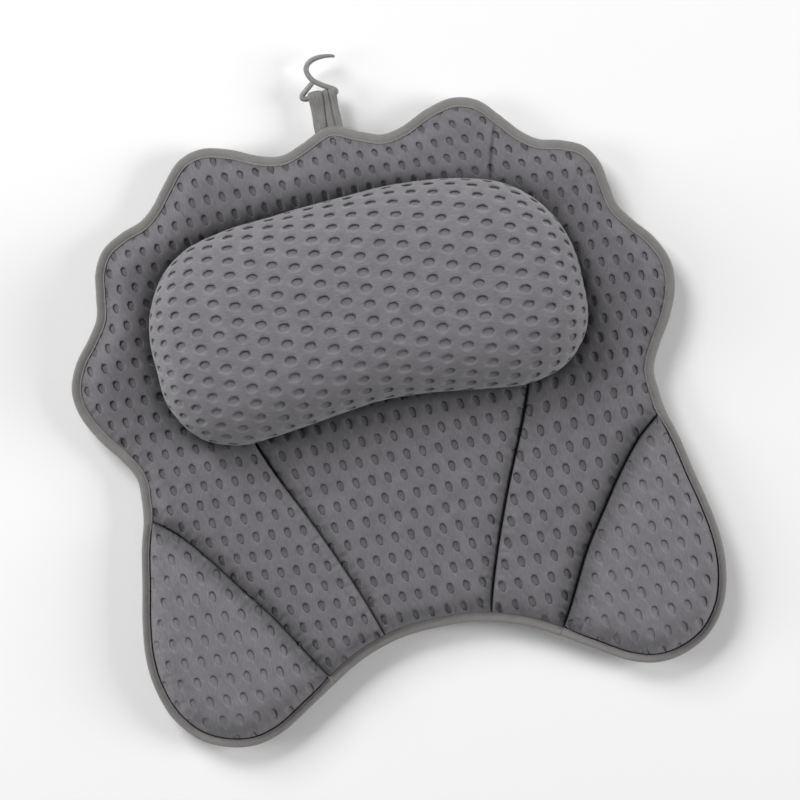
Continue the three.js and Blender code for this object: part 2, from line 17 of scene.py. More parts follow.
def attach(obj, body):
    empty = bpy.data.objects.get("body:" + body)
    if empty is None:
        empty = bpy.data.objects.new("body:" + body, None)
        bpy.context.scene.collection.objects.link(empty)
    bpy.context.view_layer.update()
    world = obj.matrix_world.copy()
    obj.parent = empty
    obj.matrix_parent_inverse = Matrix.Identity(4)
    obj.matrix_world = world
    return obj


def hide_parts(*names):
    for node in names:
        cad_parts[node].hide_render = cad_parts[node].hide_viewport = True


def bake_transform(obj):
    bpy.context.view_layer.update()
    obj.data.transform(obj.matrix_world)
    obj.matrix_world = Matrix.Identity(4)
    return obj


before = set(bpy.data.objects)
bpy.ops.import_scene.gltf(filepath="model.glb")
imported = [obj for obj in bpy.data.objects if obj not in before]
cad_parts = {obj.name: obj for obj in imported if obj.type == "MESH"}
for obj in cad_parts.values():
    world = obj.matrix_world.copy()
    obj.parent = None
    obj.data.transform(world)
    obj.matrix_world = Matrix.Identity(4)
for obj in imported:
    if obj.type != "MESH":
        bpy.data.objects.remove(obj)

Array = np.ndarray
Pair = tuple[float, float]
Colour = tuple[float, float, float]
MM = 0.001
UV_UNIT = 100.0
log = logging.getLogger("bath_pillow")


# Plan lines

def smooth_through(points: Array, steps: int, closed: bool = False) -> Array:
    """Points on a centripetal Catmull-Rom curve through some points.

    Args:
        points: the points to pass through, one row each.
        steps: how many steps the curve takes from each point to the next.
        closed: whether the curve goes on from the last point to the first.
    Returns:
        The curve's points; an open curve ends on its last point.
    """
    p = np.asarray(points, float)
    ends = (p[-1:], p[:2]) if closed else (2 * p[:1] - p[1:2], 2 * p[-1:] - p[-2:-1])
    p = np.concatenate([ends[0], p, ends[1]])
    a, b, c, d = p[:-3], p[1:-2], p[2:-1], p[3:]
    knot = [np.sqrt(np.linalg.norm(y - x, axis=1))[:, None, None] for x, y in ((a, b), (b, c), (c, d))]
    t0, t1 = 0.0, knot[0]
    t2 = t1 + knot[1]
    t3 = t2 + knot[2]
    t = t1 + (t2 - t1) * (np.arange(steps) / steps)[None, :, None]
    a, b, c, d = (q[:, None, :] for q in (a, b, c, d))

    def between(low: Array, high: Array, start: Array, end: Array) -> Array:
        """The point between low, at start, and high, at end."""
        return ((end - t) * low + (t - start) * high) / (end - start)

    first, second, third = between(a, b, t0, t1), between(b, c, t1, t2), between(c, d, t2, t3)
    curve = between(between(first, second, t0, t2), between(second, third, t1, t3), t1, t2)
    curve = curve.reshape(-1, p.shape[1])
    return curve if closed else np.concatenate([curve, p[-2:-1]])


def run_of(line: Array) -> Array:
    """The length of a line up to each of its points."""
    return np.concatenate([[0.0], np.cumsum(np.linalg.norm(np.diff(line, axis=0), axis=1))])


def at_shares(line: Array, shares: Array) -> Array:
    """The points at the given shares of a line's length."""
    run = run_of(line)
    return np.stack([np.interp(shares * run[-1], run, line[:, k]) for k in range(line.shape[1])], axis=1)


def evenly(line: Array, count: int) -> Array:
    """A line's points again, evenly spaced, with that many of them."""
    return at_shares(line, np.linspace(0.0, 1.0, count))


def inset(outline: Array, distance: float | Array) -> Array:
    """A closed clockwise line moved inwards: each point goes along the right-hand normal of its neighbours' line.

    Args:
        outline: the line's points.
        distance: how far all points move, or each of them.
    Returns:
        The moved points.
    """
    way = np.roll(outline, -1, axis=0) - np.roll(outline, 1, axis=0)
    way /= np.linalg.norm(way, axis=1, keepdims=True)
    normal = np.stack([way[:, 1], -way[:, 0]], axis=1)
    return outline + normal * np.reshape(distance, (-1, 1))


def mirrored(line: Array) -> Array:
    """The line on the other side of the middle, run the other way."""
    return (line * (-1.0, 1.0))[::-1]


def across_middle(right: Array) -> Array:
    """A whole line from its right half, which starts on the middle."""
    return np.concatenate([mirrored(right), right[1:]])


def nearest(points: Array, line: Array, closed: bool = True) -> tuple[Array, Array]:
    """How far plan points lie from a line, and where along it.

    The distance to each piece of the line is the length from the point to its foot, with the foot held to the piece.

    Args:
        points: plan points, in rows.
        line: the line's points, in order.
        closed: whether the line goes on from its last point to its first.
    Returns:
        The distance from each point to the line, and the length along the line to the nearest place.
    """
    start = line if closed else line[:-1]
    side = (np.roll(line, -1, axis=0) if closed else line[1:]) - start
    square = np.maximum((side ** 2).sum(axis=1), 1e-9)
    run = np.concatenate([[0.0], np.cumsum(np.sqrt(square))[:-1]])
    far, where = [], []
    for block in np.array_split(points, max(1, len(points) // 2000)):
        ahead = block @ side.T - (start * side).sum(axis=1)
        share = np.clip(ahead / square, 0.0, 1.0)
        gap = (block ** 2).sum(axis=1)[:, None] - 2 * block @ start.T + (start ** 2).sum(axis=1)
        gap += share * (share * square - 2 * ahead)
        best = gap.argmin(axis=1)
        rows = np.arange(len(block))
        far.append(np.sqrt(np.maximum(gap[rows, best], 0.0)))
        where.append(run[best] + share[rows, best] * np.sqrt(square[best]))
    return np.concatenate(far), np.concatenate(where)


def smoothstep(low: float, high: float, x: Array) -> Array:
    """0 before low, 1 after high, and 3t^2 - 2t^3 between them."""
    t = np.clip((x - low) / (high - low), 0.0, 1.0)
    return t * t * (3 - 2 * t)


def ripple(along: Array, wave: float, seed: int) -> Array:
    """An uneven ripple from -1 to 1: four sines with unlike lengths near the given one, with seeded phases.

    Args:
        along: the places.
        wave: the length of the main sine.
        seed: for the phases.
    Returns:
        The ripple at each place.
    """
    phases = np.random.default_rng(seed).uniform(0, 2 * math.pi, 4)
    parts = [np.sin(2 * math.pi * along / (wave * k) + p) for k, p in zip((1.0, 1.37, 0.73, 2.3), phases)]
    return sum(parts) / 4


# Surfaces

def coons(low: Array, high: Array, start: Array, end: Array, across: Array) -> Array:
    """A grid of plan points between four edges: the two ruled surfaces added, less the bilinear one of the corners.

    Args:
        low: one long edge, with a point for each column.
        high: the edge opposite, run the same way.
        start: the edge that joins their first points.
        end: the edge that joins their last points.
        across: the rows' shares of the way from low to high.
    Returns:
        The points, as rows by columns by two.
    """
    u = np.linspace(0.0, 1.0, len(low))[None, :, None]
    v = across[:, None, None]
    ruled = low[None] * (1 - v) + high[None] * v
    sides = at_shares(start, across)[:, None] * (1 - u) + at_shares(end, across)[:, None] * u
    corners = (low[0] * (1 - v) + high[0] * v) * (1 - u) + (low[-1] * (1 - v) + high[-1] * v) * u
    return ruled + sides - corners


def normals_of(grid: Array, wraps: bool = False) -> Array:
    """The unit normals of a grid of points, from the cross product of its two central differences.

    Args:
        grid: the points, as rows by columns by three.
        wraps: whether each row goes on from its last point to its first.
    Returns:
        The normals.
    """
    if wraps:
        grid = np.concatenate([grid[:, -1:], grid, grid[:, :1]], axis=1)
    normal = np.cross(np.gradient(grid, axis=1), np.gradient(grid, axis=0))
    normal /= np.maximum(np.linalg.norm(normal, axis=2, keepdims=True), 1e-12)
    return normal[:, 1:-1] if wraps else normal


def eased(heights: Array, passes: int) -> Array:
    """Heights on a grid with their ridges eased: each inner one becomes half itself and half its neighbours' mean.

    Args:
        heights: the heights.
        passes: how often they are eased.
    Returns:
        The eased heights.
    """
    for _ in range(passes):
        inner = heights[1:-1, 1:-1]
        beside = heights[:-2, 1:-1] + heights[2:, 1:-1] + heights[1:-1, :-2] + heights[1:-1, 2:]
        heights = heights.copy()
        heights[1:-1, 1:-1] = 0.5 * inner + 0.125 * beside
    return heights


@dataclass
class Surface:
    """Points, faces and cloth coordinates of one shell, in millimetres, and the painted shade at each point."""

    points: Array
    faces: list[Sequence[int]]
    cloth: Array
    crease: Optional[Array] = None

    def outwards(self) -> list[Sequence[int]]:
        """The faces, turned to point outwards."""
        inside_out = signed_volume(self.points, self.faces) < 0
        return [list(face)[::-1] for face in self.faces] if inside_out else self.faces

    @staticmethod
    def joined(parts: Sequence["Surface"]) -> "Surface":
        """Several shells as one.

        Args:
            parts: the shells.
        Returns:
            One shell with all their points and faces.
        """
        start, faces = 0, []
        for part in parts:
            faces += [[i + start for i in face] for face in part.outwards()]
            start += len(part.points)
        columns = [np.concatenate([getattr(p, name) for p in parts]) for name in ("points", "cloth")]
        crease = [p.crease for p in parts if p.crease is not None]
        return Surface(columns[0], faces, columns[1], np.concatenate(crease) if crease else None)


def grid_faces(rows: int, columns: int, wraps: bool = False) -> Array:
    """The four-sided faces of a grid that is numbered row by row.

    Args:
        rows: how many rows the grid has.
        columns: how many columns it has.
        wraps: whether each row goes on from its last point to its first.
    Returns:
        The faces, each as four numbers.
    """
    index = np.arange(rows * columns).reshape(rows, columns)
    if wraps:
        index = np.concatenate([index, index[:, :1]], axis=1)
    corners = (index[:-1, :-1], index[:-1, 1:], index[1:, 1:], index[1:, :-1])
    return np.stack([c.ravel() for c in corners], axis=1)


def rim_of(rows: int, columns: int) -> Array:
    """The numbers of the points round a grid's rim, in order, where the grid is numbered row by row."""
    index = np.arange(rows * columns).reshape(rows, columns)
    return np.concatenate([index[0], index[1:, -1], index[-1, -2::-1], index[-2:0:-1, 0]])


def closed_below(grid: Array, cloth: Array, floor: float) -> Surface:
    """A grid's surface closed by an upright wall from its rim down to a flat floor.

    Args:
        grid: the points, as rows by columns by three.
        cloth: their cloth coordinates.
        floor: the height of the floor.
    Returns:
        The closed shell.
    """
    rows, columns = grid.shape[:2]
    rim = rim_of(rows, columns)
    points = grid.reshape(-1, 3)
    foot = points[rim].copy()
    foot[:, 2] = floor
    feet = np.arange(len(rim)) + len(points)
    walls = np.stack([rim, feet, np.roll(feet, -1), np.roll(rim, -1)], axis=1)
    faces = grid_faces(rows, columns).tolist() + walls.tolist() + [feet.tolist()[::-1]]
    flat = cloth.reshape(-1, 2)
    return Surface(np.concatenate([points, foot]), faces, np.concatenate([flat, flat[rim]]))


def ring_surface(rings: Array, cloth: Optional[Array] = None) -> Surface:
    """The closed shell over a stack of rings, whose first and last rings are closed by a face each.

    Args:
        rings: the points, as rings by points by three.
        cloth: cloth coordinates, or none to take the plan.
    Returns:
        The closed shell.
    """
    count, around = rings.shape[:2]
    cloth = rings[..., :2] if cloth is None else cloth
    faces = grid_faces(count, around, wraps=True).tolist()
    faces += [list(range(around))[::-1], list(range((count - 1) * around, count * around))]
    return Surface(rings.reshape(-1, 3), faces, cloth.reshape(-1, 2))


def signed_volume(points: Array, faces: Sequence[Sequence[int]]) -> float:
    """Six times a closed shell's volume, from its faces cut into fans: positive where they point outwards.

    Args:
        points: the shell's points.
        faces: its faces.
    Returns:
        Six times the volume.
    """
    total = 0.0
    by_size: dict[int, list[Sequence[int]]] = {}
    for face in faces:
        by_size.setdefault(len(face), []).append(face)
    for size, group in by_size.items():
        corners = points[np.array(group)]
        for k in range(1, size - 1):
            total += np.einsum("ij,ij->", corners[:, 0], np.cross(corners[:, k], corners[:, k + 1]))
    return float(total)


def lathe(profile: Array, turns: int) -> Array:
    """Rings about the upright axis: radius times the cosine and sine of even turns, at each height of a profile.

    Args:
        profile: radii and heights, in rows.
        turns: how many points each ring has.
    Returns:
        The rings.
    """
    angle = np.linspace(0, 2 * math.pi, turns, endpoint=False)
    radius, height = profile[:, :1], profile[:, 1:]
    return np.stack([radius * np.cos(angle), radius * np.sin(angle), height + 0 * angle], axis=2)


def tube(path: Array, radii: Array, around: int = 20) -> Array:
    """Rings round a path in the plan, square to it: path + radius times (cosine of side, sine of up).

    Args:
        path: the points of the tube's middle, as x, y and z, with little rise.
        radii: the radius at each point.
        around: how many points each ring has.
    Returns:
        The rings.
    """
    way = np.gradient(path, axis=0)
    way /= np.linalg.norm(way, axis=1, keepdims=True)
    side = np.stack([way[:, 1], -way[:, 0], 0 * way[:, 0]], axis=1)
    side /= np.linalg.norm(side, axis=1, keepdims=True)
    up = np.cross(side, way)
    angle = np.linspace(0, 2 * math.pi, around, endpoint=False)[None, :, None]
    round_it = np.cos(angle) * side[:, None] + np.sin(angle) * up[:, None]
    return path[:, None] + np.reshape(radii, (-1, 1, 1)) * round_it


def rounded_ends(length: float, radius: float, steps: int) -> tuple[Array, Array]:
    """Places along a bar with round ends, and the share of the radius there: a quarter circle at each end.

    Args:
        length: the bar's length.
        radius: its radius.
        steps: how many places each end has.
    Returns:
        The places and the shares.
    """
    turn = np.linspace(0.06, 1.0, steps) * math.pi / 2
    near = radius * (1 - np.cos(turn))
    return np.concatenate([near, length - near[::-1]]), np.concatenate([np.sin(turn), np.sin(turn)[::-1]])


def make_piece(
    name: str, surface: Surface, material: bpy.types.Material, merge: float = 0.0
) -> bpy.types.Object:
    """A Blender object at the origin from a shell, with its faces outwards.

    Args:
        name: the object's name.
        surface: the shell, in millimetres.
        material: its material.
        merge: points nearer than this, in millimetres, become one.
    Returns:
        The new object.
    """
    mesh = bpy.data.meshes.new(name)
    mesh.from_pydata((surface.points * MM).tolist(), [], surface.outwards())
    # the per-point painted shade goes into a point attribute that the materials read
    if surface.crease is not None:
        depth = mesh.attributes.new("crease", "FLOAT", "POINT")
        depth.data.foreach_set("value", surface.crease.astype(np.float32))
    corners = np.empty(len(mesh.loops), np.int32)
    mesh.loops.foreach_get("vertex_index", corners)
    layer = mesh.uv_layers.new(name="cloth")
    layer.data.foreach_set("uv", (surface.cloth[corners] / UV_UNIT).astype(np.float32).ravel())
    sides = np.empty(len(mesh.polygons), np.int32)
    mesh.polygons.foreach_get("loop_total", sides)
    mesh.polygons.foreach_set("use_smooth", sides <= 4)
    mesh.materials.append(material)
    if merge:
        shell = bmesh.new()
        shell.from_mesh(mesh)
        bmesh.ops.remove_doubles(shell, verts=shell.verts, dist=merge * MM)
        shell.to_mesh(mesh)
        shell.free()
    mesh.update()
    piece = bpy.data.objects.new(name, mesh)
    bpy.context.collection.objects.link(piece)
    log.info("%s: %d faces", name, len(mesh.polygons))
    return piece


# The dimples of the spacer mesh

@dataclass(frozen=True)
class Dimples:
    """Rows of oval dimples: where they lie, in millimetres of cloth, and their form."""

    origin: Pair
    across: Pair
    down: Pair
    half_width: float
    half_height: float
    lean: float
    taper: float
    depth: float
    slope: Pair
    edge: Pair = (1.16, 0.72)

    def to_rows(self) -> Array:
        """The matrix that turns an offset in millimetres into steps across and down the rows."""
        return np.linalg.inv(np.array([self.across, self.down]).T)

    def cloth_on(self, plan: Array, patches: Sequence["Patch"]) -> Array:
        """Cloth coordinates for plan points, such that the dimples lie as in some patches of the sewn cloth.

        Each patch turns a place into steps from its first dimple, and these into cloth. The patches' results are
        mixed by the weights exp(-(distance from the patch's middle / reach) squared).

        Args:
            plan: the plan points.
            patches: the patches, or none where the cloth lies as it is.
        Returns:
            The cloth coordinates.
        """
        if not patches:
            return plan
        total, weights = np.zeros(plan.shape), np.full(plan.shape[:-1], 1e-12)
        for patch in patches:
            steps = (plan - patch.first) @ np.linalg.inv(np.array([patch.across, patch.down]))
            far = ((plan - patch.middle) ** 2).sum(axis=-1) / patch.reach ** 2
            weight = np.exp(-np.minimum(far, 25.0))
            total += weight[..., None] * (self.origin + steps @ np.array([self.across, self.down]))
            weights += weight
        return total / weights[..., None]

    def hollow(self, cloth: Array) -> Array:
        """How far the cloth is pressed in at each place, in millimetres.

        The place's offset from the nearest oval's middle is turned by the lean; r is its length in half widths and
        half heights, with the width tapered down the oval. The depth falls from 1 inside the edge's second value of
        r to 0 outside its first, and slopes across the floor.

        Args:
            cloth: the places, as cloth coordinates.
        Returns:
            The depth at each place.
        """
        steps = (cloth - self.origin) @ self.to_rows().T
        steps = steps - np.round(steps)
        offset = steps @ np.array([self.across, self.down])
        turn = math.radians(self.lean)
        x = offset[..., 0] * math.cos(turn) + offset[..., 1] * math.sin(turn)
        y = -offset[..., 0] * math.sin(turn) + offset[..., 1] * math.cos(turn)
        x, y = x / (self.half_width * (1 + self.taper * y / self.half_height)), y / self.half_height
        inside = 1 - smoothstep(self.edge[1], self.edge[0], np.hypot(x, y))
        floor = 1 + self.slope[0] * np.clip(x, -1, 1) + self.slope[1] * np.clip(y, -1, 1)
        return self.depth * inside * floor


@dataclass(frozen=True)
class Patch:
    """How the rows lie near a place: its middle, where the first dimple would be, and the steps across and down."""

    middle: Pair
    first: Pair
    across: Pair
    down: Pair
    reach: float = 60.0


# Materials

Socket = bpy.types.NodeSocket


class Nodes:
    """A material's nodes, added one after another."""

    def __init__(self, name: str) -> None:
        """Start an empty material with one shader.

        Args:
            name: the material's name.
        """
        self.material = bpy.data.materials.new(name)
        self.material.use_nodes = True
        self.tree = self.material.node_tree
        self.tree.nodes.clear()
        self.shader = self.tree.nodes.new("ShaderNodeBsdfPrincipled")
        self.output = self.tree.nodes.new("ShaderNodeOutputMaterial")
        self.tree.links.new(self.shader.outputs[0], self.output.inputs["Surface"])

    def add(self, kind: str, inputs: dict[str | int, object], **settings: object) -> bpy.types.Node:
        """A node with its settings, and its inputs linked or set.

        Args:
            kind: the node's type, without its first word.
            inputs: a socket or a value for each input's name or number.
            settings: the node's own settings.
        Returns:
            The new node.
        """
        node = self.tree.nodes.new("ShaderNode" + kind)
        for key, value in settings.items():
            setattr(node, key, value)
        for key, value in inputs.items():
            if isinstance(value, Socket):
                self.tree.links.new(value, node.inputs[key])
            else:
                node.inputs[key].default_value = value
        return node

    def math(self, operation: str, *values: object) -> Socket:
        """The result of a Math node."""
        return self.add("Math", dict(enumerate(values)), operation=operation).outputs[0]

    def product(self, *factors: Socket) -> Socket:
        """The product of some factors.

        Args:
            factors: the factors, at least one.
        Returns:
            The product.
        """
        result = factors[0]
        for factor in factors[1:]:
            result = self.math("MULTIPLY", result, factor)
        return result

    def length(self, x: Socket, y: Socket) -> Socket:
        """The length of an offset."""
        return self.math("SQRT", self.math("ADD", self.product(x, x), self.product(y, y)))

    def off_whole(self, value: Socket) -> Socket:
        """How far a value lies from the nearest whole number, with its sign."""
        return self.math("SUBTRACT", value, self.math("ROUND", value))

    def spread(self, noise: Socket, low: float, high: float) -> Socket:
        """A noise carried to a range, where its usual values, from 0.3 to 0.7, fill the range."""
        return self.ranged(noise, 0.3, 0.7, low, high)

    def vector(self, operation: str, *values: object, out: str = "Vector") -> Socket:
        """The result of a Vector Math node.

        Args:
            operation: what the node does.
            values: its inputs, as sockets or values.
            out: the name of the output.
        Returns:
            That output.
        """
        node = self.add("VectorMath", {}, operation=operation)
        for k, value in enumerate(values):
            key = "Scale" if operation == "SCALE" and k == 1 else k
            if isinstance(value, Socket):
                self.tree.links.new(value, node.inputs[key])
            else:
                node.inputs[key].default_value = value
        return node.outputs[out]

    def ranged(
        self, value: Socket, low: float, high: float, to_low: float, to_high: float, smooth: bool = False
    ) -> Socket:
        """A value carried from one range to another and held to its ends.

        Args:
            value: the value.
            low: the first range's start.
            high: its end.
            to_low: the second range's start.
            to_high: its end.
            smooth: whether it eases in and out.
        Returns:
            The new value.
        """
        kind = "SMOOTHSTEP" if smooth else "LINEAR"
        inputs = {"Value": value, "From Min": low, "From Max": high, "To Min": to_low, "To Max": to_high}
        return self.add("MapRange", inputs, interpolation_type=kind).outputs[0]

    def noise(self, place: Socket, scale: float, detail: float = 2.0) -> Socket:
        """Noise from 0 to 1 at a place."""
        return self.add("TexNoise", {"Vector": place, "Scale": scale, "Detail": detail}).outputs[0]

    def tinted(self, colour: Colour, *factors: Socket) -> Socket:
        """A colour times some factors.

        Args:
            colour: the colour, as a shader takes it.
            factors: the factors, at least one.
        Returns:
            The product.
        """
        return self.vector("SCALE", colour, self.product(*factors))

    def creased(self, shade: float) -> Socket:
        """A factor that falls from 1 to the given shade as the per-point painted shade rises to 1."""
        depth = self.add("Attribute", {}, attribute_name="crease").outputs["Fac"]
        return self.ranged(depth, 0, 1, 1.0, shade)

    def cloth_place(self) -> Socket:
        """The place on the cloth, in millimetres."""
        place = self.add("UVMap", {}, uv_map="cloth").outputs[0]
        return self.vector("SCALE", place, UV_UNIT)

    def finish(
        self, colour: Socket, roughness: object, height: Socket, bump: float, **sockets: object
    ) -> bpy.types.Material:
        """The material with its colour, roughness and bump.

        Args:
            colour: the colour.
            roughness: the roughness, as a socket or a value.
            height: the bump's height, in units of bump millimetres.
            bump: that unit.
            sockets: values for the shader's other inputs, under their names in small letters.
        Returns:
            The material.
        """
        normal = self.add("Bump", {"Height": height, "Distance": bump * MM, "Strength": 1.0}).outputs[0]
        links = {"Base Color": colour, "Roughness": roughness, "Normal": normal}
        for key, value in links.items():
            if isinstance(value, Socket):
                self.tree.links.new(value, self.shader.inputs[key])
            else:
                self.shader.inputs[key].default_value = value
        for key, value in sockets.items():
            self.shader.inputs[key.replace("_", " ").title().replace("Ior", "IOR")].default_value = value
        return self.material


def linear(red: int, green: int, blue: int) -> Colour:
    """A screen colour as the linear one that a shader takes."""
    values = np.array([red, green, blue]) / 255
    return tuple(np.where(values <= 0.04045, values / 12.92, ((values + 0.055) / 1.055) ** 2.4).tolist())


@dataclass(frozen=True)
class SpacerMesh:
    """Brushed knit with oval dimples."""

    name: str
    colour: Colour
    dimples: Dimples
    floor_shades: Pair
    wall_shade: float
    grain: Pair
    lit_from: Pair
    far_wall: float
    wall_from: float = 0.66
    tension: float = 1.0

    def in_dimple(self, n: Nodes, place: Socket) -> tuple[Socket, Socket, list[Socket]]:
        """Where a place lies in its dimple.

        The offset from the nearest dimple's middle is turned by the lean and divided by the half sizes, of which the
        width is tapered, as Dimples.hollow does.

        Args:
            n: the material's nodes.
            place: the place on the cloth.
        Returns:
            The offset in half widths and in half heights, and the steps from the middle, across and down the rows.
        """
        d = self.dimples
        offset = n.vector("SUBTRACT", place, (*d.origin, 0.0))
        rows = d.to_rows()
        steps = []
        for row in rows:
            value = n.vector("DOT_PRODUCT", offset, (row[0], row[1], 0.0), out="Value")
            steps.append(n.off_whole(value))
        turn = math.radians(d.lean)
        ways = [(math.cos(turn), math.sin(turn)), (-math.sin(turn), math.cos(turn))]
        x, y = (
            n.math(
                "ADD",
                n.math("MULTIPLY", steps[0], d.across[0] * w[0] + d.across[1] * w[1]),
                n.math("MULTIPLY", steps[1], d.down[0] * w[0] + d.down[1] * w[1]),
            )
            for w in ways
        )
        y = n.math("DIVIDE", y, d.half_height)
        width = n.math("MULTIPLY_ADD", y, d.half_width * d.taper, d.half_width)
        return n.math("DIVIDE", x, width), y, steps

    def make(self) -> bpy.types.Material:
        """The material: dimples with shaded walls and floors in a fine brushed knit that runs one way.

        Painted shade and light: the wall is darkest on the side towards the light, whose wall faces away from it, the
        floor goes from its first shade on the far side to its second there, part the darker lower layer seen through
        and part painted shade, and the far rim gets a painted highlight. Faint lines of tension join the dimples
        aslant.

        Returns:
            The material.
        """
        n = Nodes(self.name)
        place = n.cloth_place()
        x, y, steps = self.in_dimple(n, place)
        wobble = n.noise(place, 0.6, 2.0)
        radius = n.math("ADD", n.length(x, y), n.spread(wobble, -0.06, 0.06))
        # toward is greatest on the side of the dimple nearest the light
        toward = n.math("ADD", n.math("MULTIPLY", x, self.lit_from[0]), n.math("MULTIPLY", y, self.lit_from[1]))
        inside = n.ranged(radius, self.wall_from, 1.12, 1.0, 0.0, smooth=True)
        # painted shade on the walls, darkest on the side towards the light
        faced = n.ranged(toward, -0.7, 0.7, self.far_wall, 1.0)
        wall = n.product(inside, n.math("SUBTRACT", 1.0, inside), faced)
        # painted shade on the floor, darker towards the light; part of it is the darker lower layer seen through
        floor = n.math("SUBTRACT", n.ranged(toward, -0.8, 0.8, *self.floor_shades), 1.0)
        # painted highlight on the rim on the side away from the light
        rim = n.product(
            n.ranged(radius, 0.9, 1.15, 0.0, 1.0, smooth=True),
            n.ranged(radius, 1.2, 1.65, 1.0, 0.0),
            n.ranged(toward, -0.9, 0.1, 1.0 - self.far_wall, 0.0),
        )
        aslant = n.math("ABSOLUTE", n.off_whole(n.math("SUBTRACT", steps[0], steps[1])))
        patchy = n.ranged(n.noise(place, 0.11, 1.0), 0.45, 0.6, 0.0, 1.0)
        pull = n.product(n.ranged(aslant, 0.015, 0.08, 1.0, 0.0), patchy)
        brushed = n.noise(n.vector("MULTIPLY", place, (*self.grain, 1.0)), 1.0, 3.0)
        loops = n.noise(place, 2.6, 1.0)
        mottle = n.noise(place, 0.09, 2.0)
        shade = [
            n.math("MULTIPLY_ADD", inside, floor, 1.0),
            n.ranged(wall, 0, 0.25, 1.0, self.wall_shade, smooth=True),
            n.ranged(rim, 0, 1, 1.0, 1.22),
            n.ranged(pull, 0, 1, 1.0, self.tension),
            n.spread(brushed, 0.89, 1.11),
            n.spread(mottle, 0.9, 1.1),
            # painted shade of the seams, the joins and the pillow's shadow
            n.creased(0.25),
        ]
        height = n.math("MULTIPLY_ADD", inside, -0.9, n.math("MULTIPLY", brushed, 0.3))
        height = n.math("MULTIPLY_ADD", loops, 0.16, height)
        colour = n.tinted(self.colour, *shade)
        return n.finish(colour, 0.92, height, 1.0, sheen_weight=0.25, sheen_roughness=0.5, specular_ior_level=0.2)


@dataclass(frozen=True)
class PlainKnit:
    """Flat warp-knit mesh with rows of small holes, for the back."""

    name: str
    colour: Colour
    pitch: float

    def make(self) -> bpy.types.Material:
        """The material: small round holes a pitch apart, darker, with every other row half a step over.

        Returns:
            The material.
        """
        n = Nodes(self.name)
        place = n.cloth_place()
        parts = n.add("SeparateXYZ", {"Vector": place})
        row = n.math("DIVIDE", parts.outputs[1], self.pitch)
        over = n.math("MULTIPLY", n.math("FLOORED_MODULO", n.math("ROUND", row), 2.0), 0.5)
        column = n.math("ADD", n.math("DIVIDE", parts.outputs[0], self.pitch), over)
        hole = n.ranged(n.length(n.off_whole(column), n.off_whole(row)), 0.18, 0.36, 1.0, 0.0, smooth=True)
        brushed = n.noise(n.vector("MULTIPLY", place, (0.7, 2.4, 1.0)), 1.0, 3.0)
        mottle = n.noise(place, 0.07, 2.0)
        shade = [
            n.ranged(hole, 0, 1, 1.0, 0.42),
            n.spread(brushed, 0.92, 1.08),
            n.spread(mottle, 0.95, 1.05),
        ]
        height = n.math("MULTIPLY_ADD", hole, -0.5, n.math("MULTIPLY", brushed, 0.25))
        return n.finish(n.tinted(self.colour, *shade), 0.95, height, 1.0, sheen_weight=0.15, specular_ior_level=0.2)


@dataclass(frozen=True)
class WovenTape:
    """Narrow woven tape with fine ribs, and a row of stitches where stitch_at says how far inwards it runs.

    Its cloth coordinates run along and across.
    """

    name: str
    colour: Colour
    rib: float
    ribs_along: bool
    sheen: float
    contrast: Pair = (0.08, 0.08)
    stitch_at: float = 0.0
    stitch: float = 3.0

    def make(self) -> bpy.types.Material:
        """The material: ribs a fixed distance apart, broken into threads by noise stretched along them, with painted
        shade in grooves and a painted dark line beside the stitches.

        Returns:
            The material.
        """
        n = Nodes(self.name)
        place = n.cloth_place()
        parts = n.add("SeparateXYZ", {"Vector": place})
        turn = n.math("MULTIPLY", parts.outputs[1 if self.ribs_along else 0], 2 * math.pi / self.rib)
        rib = n.math("SINE", turn)
        stretch = (0.12, 1.0, 1.0) if self.ribs_along else (3.0, 0.5, 1.0)
        thread = n.noise(n.vector("MULTIPLY", place, stretch), 1.0, 3.0)
        mottle = n.noise(place, 0.12, 2.0)
        ribs, threads = self.contrast
        shade = [
            n.ranged(rib, -1, 1, 1 - ribs, 1 + ribs / 2),
            n.spread(thread, 1 - threads, 1 + threads),
            n.spread(mottle, 0.95, 1.05),
            # painted shade in the grooves between the webbing's folds
            n.creased(0.3),
        ]
        height = n.math("MULTIPLY_ADD", rib, 0.10, n.math("MULTIPLY", thread, 0.16))
        if self.stitch_at:
            off = n.math("SUBTRACT", n.math("ABSOLUTE", parts.outputs[1]), self.stitch_at)
            turn = n.math("FRACT", n.math("DIVIDE", parts.outputs[0], self.stitch))
            dash = n.ranged(n.math("ABSOLUTE", n.math("SUBTRACT", turn, 0.5)), 0.36, 0.44, 1.0, 0.25, smooth=True)
            row = n.ranged(n.math("ABSOLUTE", off), 0.2, 0.42, 1.0, 0.0, smooth=True)
            thread = n.math("MULTIPLY", row, dash)
            shade.append(n.ranged(thread, 0, 1, 1.0, 1.25))
            # painted shade: a dark line just inside the stitches, at the lip's edge
            beside = n.math("ABSOLUTE", n.math("SUBTRACT", off, 0.4))
            shade.append(n.ranged(beside, 0.08, 0.22, 0.7, 1.0, smooth=True))
            height = n.math("MULTIPLY_ADD", thread, 0.25, height)
        colour = n.tinted(self.colour, *shade)
        return n.finish(colour, 0.72, height, 1.0, sheen_weight=self.sheen, specular_ior_level=0.35)


@dataclass(frozen=True)
class Wadding:
    """Loose white polyester fibre."""

    name: str
    colour: Colour

    def make(self) -> bpy.types.Material:
        """The material: tangled fibres from two stretched noises.

        Returns:
            The material.
        """
        n = Nodes(self.name)
        place = n.cloth_place()
        one = n.noise(n.vector("MULTIPLY", place, (0.3, 1.7, 1.0)), 1.0, 4.0)
        two = n.noise(n.vector("MULTIPLY", place, (1.7, 0.3, 1.0)), 1.0, 4.0)
        fibre = n.math("MULTIPLY", one, two)
        return n.finish(n.tinted(self.colour, n.ranged(fibre, 0.1, 0.4, 0.88, 1.0)), 1.0, fibre, 1.5, sheen_weight=0.3)


